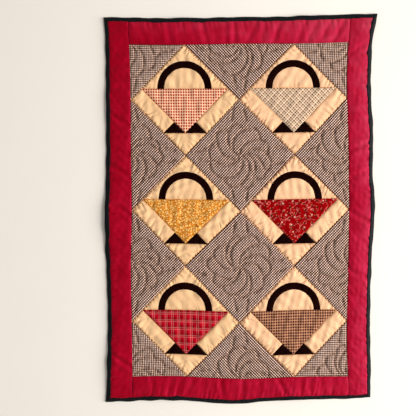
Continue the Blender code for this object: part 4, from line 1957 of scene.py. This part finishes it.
@dataclass
class QuiltingStitches:
    """The running stitches of one setting piece."""

    piece: SettingPiece
    stitch: float = 2.9 * MM
    pitch: float = 4.6 * MM
    thick: float = 0.42 * MM
    proud: float = 0.05 * MM
    stretch: float = 1.05
    facets: tuple[int, int] = (6, 5)
    edge_clear: float = 3.5 * MM

    def ends(self) -> tuple[np.ndarray, np.ndarray]:
        """Sets out the stitches along the piece's lines, clear of its seams.

        Returns:
            Where each stitch comes up and goes down, in cut coordinates.
        """
        starts, stops = [], []
        for line in self.piece.lines.lines:
            run = np.concatenate([[0], np.cumsum(np.hypot(*np.diff(line, axis=0).T))])
            for first in np.arange(self.pitch / 2, run[-1] - self.stitch, self.pitch):
                for found, place in ((starts, first), (stops, first + self.stitch)):
                    found.append([np.interp(place, run, line[:, axis]) for axis in (0, 1)])
        starts, stops = np.array(starts), np.array(stops)
        kept = self.piece.from_edge((starts + stops) / 2) > self.edge_clear
        return starts[kept], stops[kept]

    def spindle(self) -> bpy.types.Mesh:
        """Makes one stitch, upright, one unit long and thick.

        Returns:
            Its mesh.
        """
        one = bmesh.new()
        u_segments, v_segments = self.facets
        bmesh.ops.create_uvsphere(one, u_segments=u_segments, v_segments=v_segments, radius=0.5)
        return mesh_of(one, "stitch")

    def build(self) -> bpy.types.Object:
        """Sets one small spindle of thread for each stitch, sunk a little in the ditch.

        Returns:
            The stitches.
        """
        ends = [TABLE.stood(points, self.piece.relief(points)[0] + self.proud) for points in self.ends()]
        spindle, sewn = self.spindle(), bmesh.new()
        for low, high in zip(*ends):
            way = Vector(high - low)
            turn = way.to_track_quat("Z", "Y").to_matrix().to_4x4()
            size = Matrix.Diagonal((self.thick, self.thick, way.length * self.stretch, 1))
            place = Matrix.Translation((Vector(low) + Vector(high)) / 2) @ turn @ size
            spindle.transform(place)
            sewn.from_mesh(spindle)
            spindle.transform(place.inverted())
        bpy.data.meshes.remove(spindle)
        mesh = mesh_of(sewn, f"{self.piece.node}_quilting")
        mesh.shade_smooth()
        mesh.materials.append(self.piece.wardrobe.material(QUILTING_COTTON))
        made = placed(mesh.name, mesh)
        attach(made, BODY)
        return made


@dataclass(frozen=True)
class Studio:
    """A pale floor, soft light from the right, and a camera straight above."""

    photo_side: float = 416
    metres_per_pixel: float = 2.615 * MM
    field_middle: Pair = (239.65, 210.35)
    camera_height: float = 1.7
    sensor: float = 36
    floor_size: float = 8.0
    floor_gap: float = 0.2 * MM
    floor_colour: Colour = (0.865, 0.815, 0.75)
    floor_mottle: float = 0.97
    floor_mottles: float = 6.0
    floor_detail: float = 4.0
    floor_roughness: float = 0.9
    light_colour: Colour = (1.0, 0.98, 0.95)
    zenith: float = 0.17
    horizon: float = 0.92
    key_power: float = 343
    key_place: tuple[float, float, float] = (3.8, -0.35, 2.15)
    key_size: Pair = (2.4, 3.2)

    def floor(self) -> None:
        """Lays a pale floor just under the quilt."""
        sheet = bmesh.new()
        bmesh.ops.create_grid(sheet, x_segments=1, y_segments=1, size=self.floor_size / 2)
        mesh = mesh_of(sheet, "floor")
        made = placed("floor", mesh)
        made.location.z = -self.floor_gap
        paint = bpy.data.materials.new("pale_floor")
        bench = Bench(paint)
        place = bench.node("ShaderNodeTexCoord").outputs["Object"]
        inputs = {"Vector": place, "Scale": self.floor_mottles, "Detail": self.floor_detail}
        mottle = bench.signal("ShaderNodeTexNoise", "Fac", inputs=inputs)
        dull = tuple(self.floor_mottle * part for part in self.floor_colour)
        colour = bench.mix(mottle, dull, self.floor_colour)
        bench.surface({"Base Color": colour, "Roughness": self.floor_roughness})
        mesh.materials.append(paint)

    def lights(self) -> None:
        """Sets one large soft light to the right, and a pale surround that is dim overhead."""
        lamp = bpy.data.lights.new("window", "AREA")
        lamp.shape = "RECTANGLE"
        lamp.size, lamp.size_y = self.key_size
        lamp.energy = self.key_power
        lamp.color = self.light_colour
        made = placed("window", lamp)
        made.location = self.key_place
        made.rotation_euler = (-Vector(self.key_place)).to_track_quat("-Z", "Y").to_euler()
        world = bpy.data.worlds.new("surround")
        bench = Bench(world)
        _x, _y, up = bench.parts(bench.node("ShaderNodeTexCoord").outputs["Generated"])
        strength = self.horizon - up.most(0.0) * (self.horizon - self.zenith)
        inputs = {"Color": (*self.light_colour, 1), "Strength": strength}
        sky = bench.node("ShaderNodeBackground", inputs=inputs)
        bench.node("ShaderNodeOutputWorld", inputs={"Surface": sky.outputs["Background"]})
        bpy.context.scene.world = world

    def camera(self) -> None:
        """Hangs the camera over the photograph's middle, its frame as wide as the photograph's."""
        eye = bpy.data.cameras.new("camera")
        eye.sensor_width = self.sensor
        seen = self.photo_side * self.metres_per_pixel
        eye.lens = self.sensor * (self.camera_height - BORDER_LOFT.puff) / seen
        made = placed("camera", eye)
        over = (self.photo_side / 2 - self.field_middle[0]) * self.metres_per_pixel
        up = (self.field_middle[1] - self.photo_side / 2) * self.metres_per_pixel
        made.location = (over - TABLE.middle[0], up - TABLE.middle[1], self.camera_height)
        bpy.context.scene.camera = made

    def build(self) -> None:
        """Sets up the whole studio."""
        self.floor()
        self.lights()
        self.camera()
        bpy.context.scene.view_settings.view_transform = "Standard"


# The places of the small check in the field: over and up in half diagonals from its middle, and how many
# degrees the grain is turned
SETTINGS = {
    "setting_square_upper": (0, 1, -45),
    "setting_square_lower": (0, -1, -45),
    "side_triangle_top": (0, 3, 45),
    "side_triangle_bottom": (0, -3, 45),
    "side_triangle_left_upper": (-2, 1, -45),
    "side_triangle_left_lower": (-2, -1, -45),
    "side_triangle_right_upper": (2, 1, -45),
    "side_triangle_right_lower": (2, -1, -45),
    "corner_triangle_top_left": (-2, 3, 90),
    "corner_triangle_top_right": (2, 3, 0),
    "corner_triangle_bottom_left": (-2, -3, 0),
    "corner_triangle_bottom_right": (2, -3, 90),
}

# The blocks: each one's row, side and print, and how many degrees the print is turned
BLOCKS = (
    (1, Side.LEFT, RED_GINGHAM, 0),
    (1, Side.RIGHT, CREAM_PLAID, 45),
    (2, Side.LEFT, GOLD_CALICO, 10),
    (2, Side.RIGHT, RED_CALICO, 0),
    (3, Side.LEFT, RED_PLAID, 0),
    (3, Side.RIGHT, BROWN_CHECK, 0),
)

# The long upright borders are creased and rumpled more than the level ones
UPRIGHT_FOLDS = {
    "creasing": 1.15,
    "rumples": (Rumple(0.8 * MM, 55 * MM, 9, 90), Rumple(0.38 * MM, 19 * MM, 12, 95)),
}


class CribQuilt:
    """The whole quilt, built from its middle outwards."""

    setting_seed: int = 1
    block_seed: int = 20
    border_seed: int = 40
    binding_seed: int = 50

    def __init__(self) -> None:
        """Starts with an empty wardrobe."""
        self.wardrobe = Wardrobe()
        self.half = CUT.diagonal / 2

    def settings(self) -> Iterator[bpy.types.Object]:
        """The twelve plain pieces with their quilting stitches.

        Returns:
            The finished pieces, one after another.
        """
        for seed, (node, (over, up, turn)) in enumerate(SETTINGS.items(), self.setting_seed):
            piece = SettingPiece(
                node, "check_cotton", self.wardrobe, seed, centre=(over * self.half, up * self.half),
                grain_turn=math.radians(turn), cloth=STRAIGHT_CHECK if turn % 90 == 0 else SMALL_CHECK,
            )
            yield piece.build()
            yield QuiltingStitches(piece).build()

    def blocks(self) -> Iterator[bpy.types.Object]:
        """The six pieced blocks with their handles.

        Returns:
            The finished pieces, one after another.
        """
        for seed, (row, side, cloth, turn) in enumerate(BLOCKS, self.block_seed):
            block = BasketBlock(
                f"block_row{row}_{side.label}", "pieced_block", self.wardrobe, seed,
                centre=(self.half * side.value[0], 2 * self.half * (2 - row)),
                # The right-hand blocks get the peach with painted light
                ground=PEACH if side is Side.LEFT else PEACH_PAINTED_LIGHTER,
                print_cloth=cloth, print_turn=math.radians(turn),
            )
            yield block.build()
            yield BasketHandle(block).build()

    def edges(self) -> Iterator[bpy.types.Object]:
        """The borders and the binding.

        Returns:
            The finished pieces, one after another.
        """
        for number, side in enumerate(Side):
            border, binding = f"border_{side.label}", f"binding_{side.label}"
            folds = UPRIGHT_FOLDS if side.upright else {}
            seed = self.border_seed + number
            yield Border(border, "crimson_cotton", self.wardrobe, seed, side=side, **folds).build()
            seed = self.binding_seed + number
            yield Binding(binding, "binding", self.wardrobe, seed, side=side).build()

    def build(self) -> Iterator[bpy.types.Object]:
        """The whole quilt, piece by piece.

        Returns:
            The finished pieces, one after another.
        """
        yield from self.settings()
        yield from self.blocks()
        yield from self.edges()


def main() -> None:
    """Builds the quilt and the studio, and reports each piece's faces."""
    logging.basicConfig(level=logging.INFO, format="%(name)s: %(message)s")
    for piece in CribQuilt().build():
        log.info("%s: %d faces", piece.name, len(piece.data.polygons))
    Studio().build()


if __name__ == "__main__":
    main()
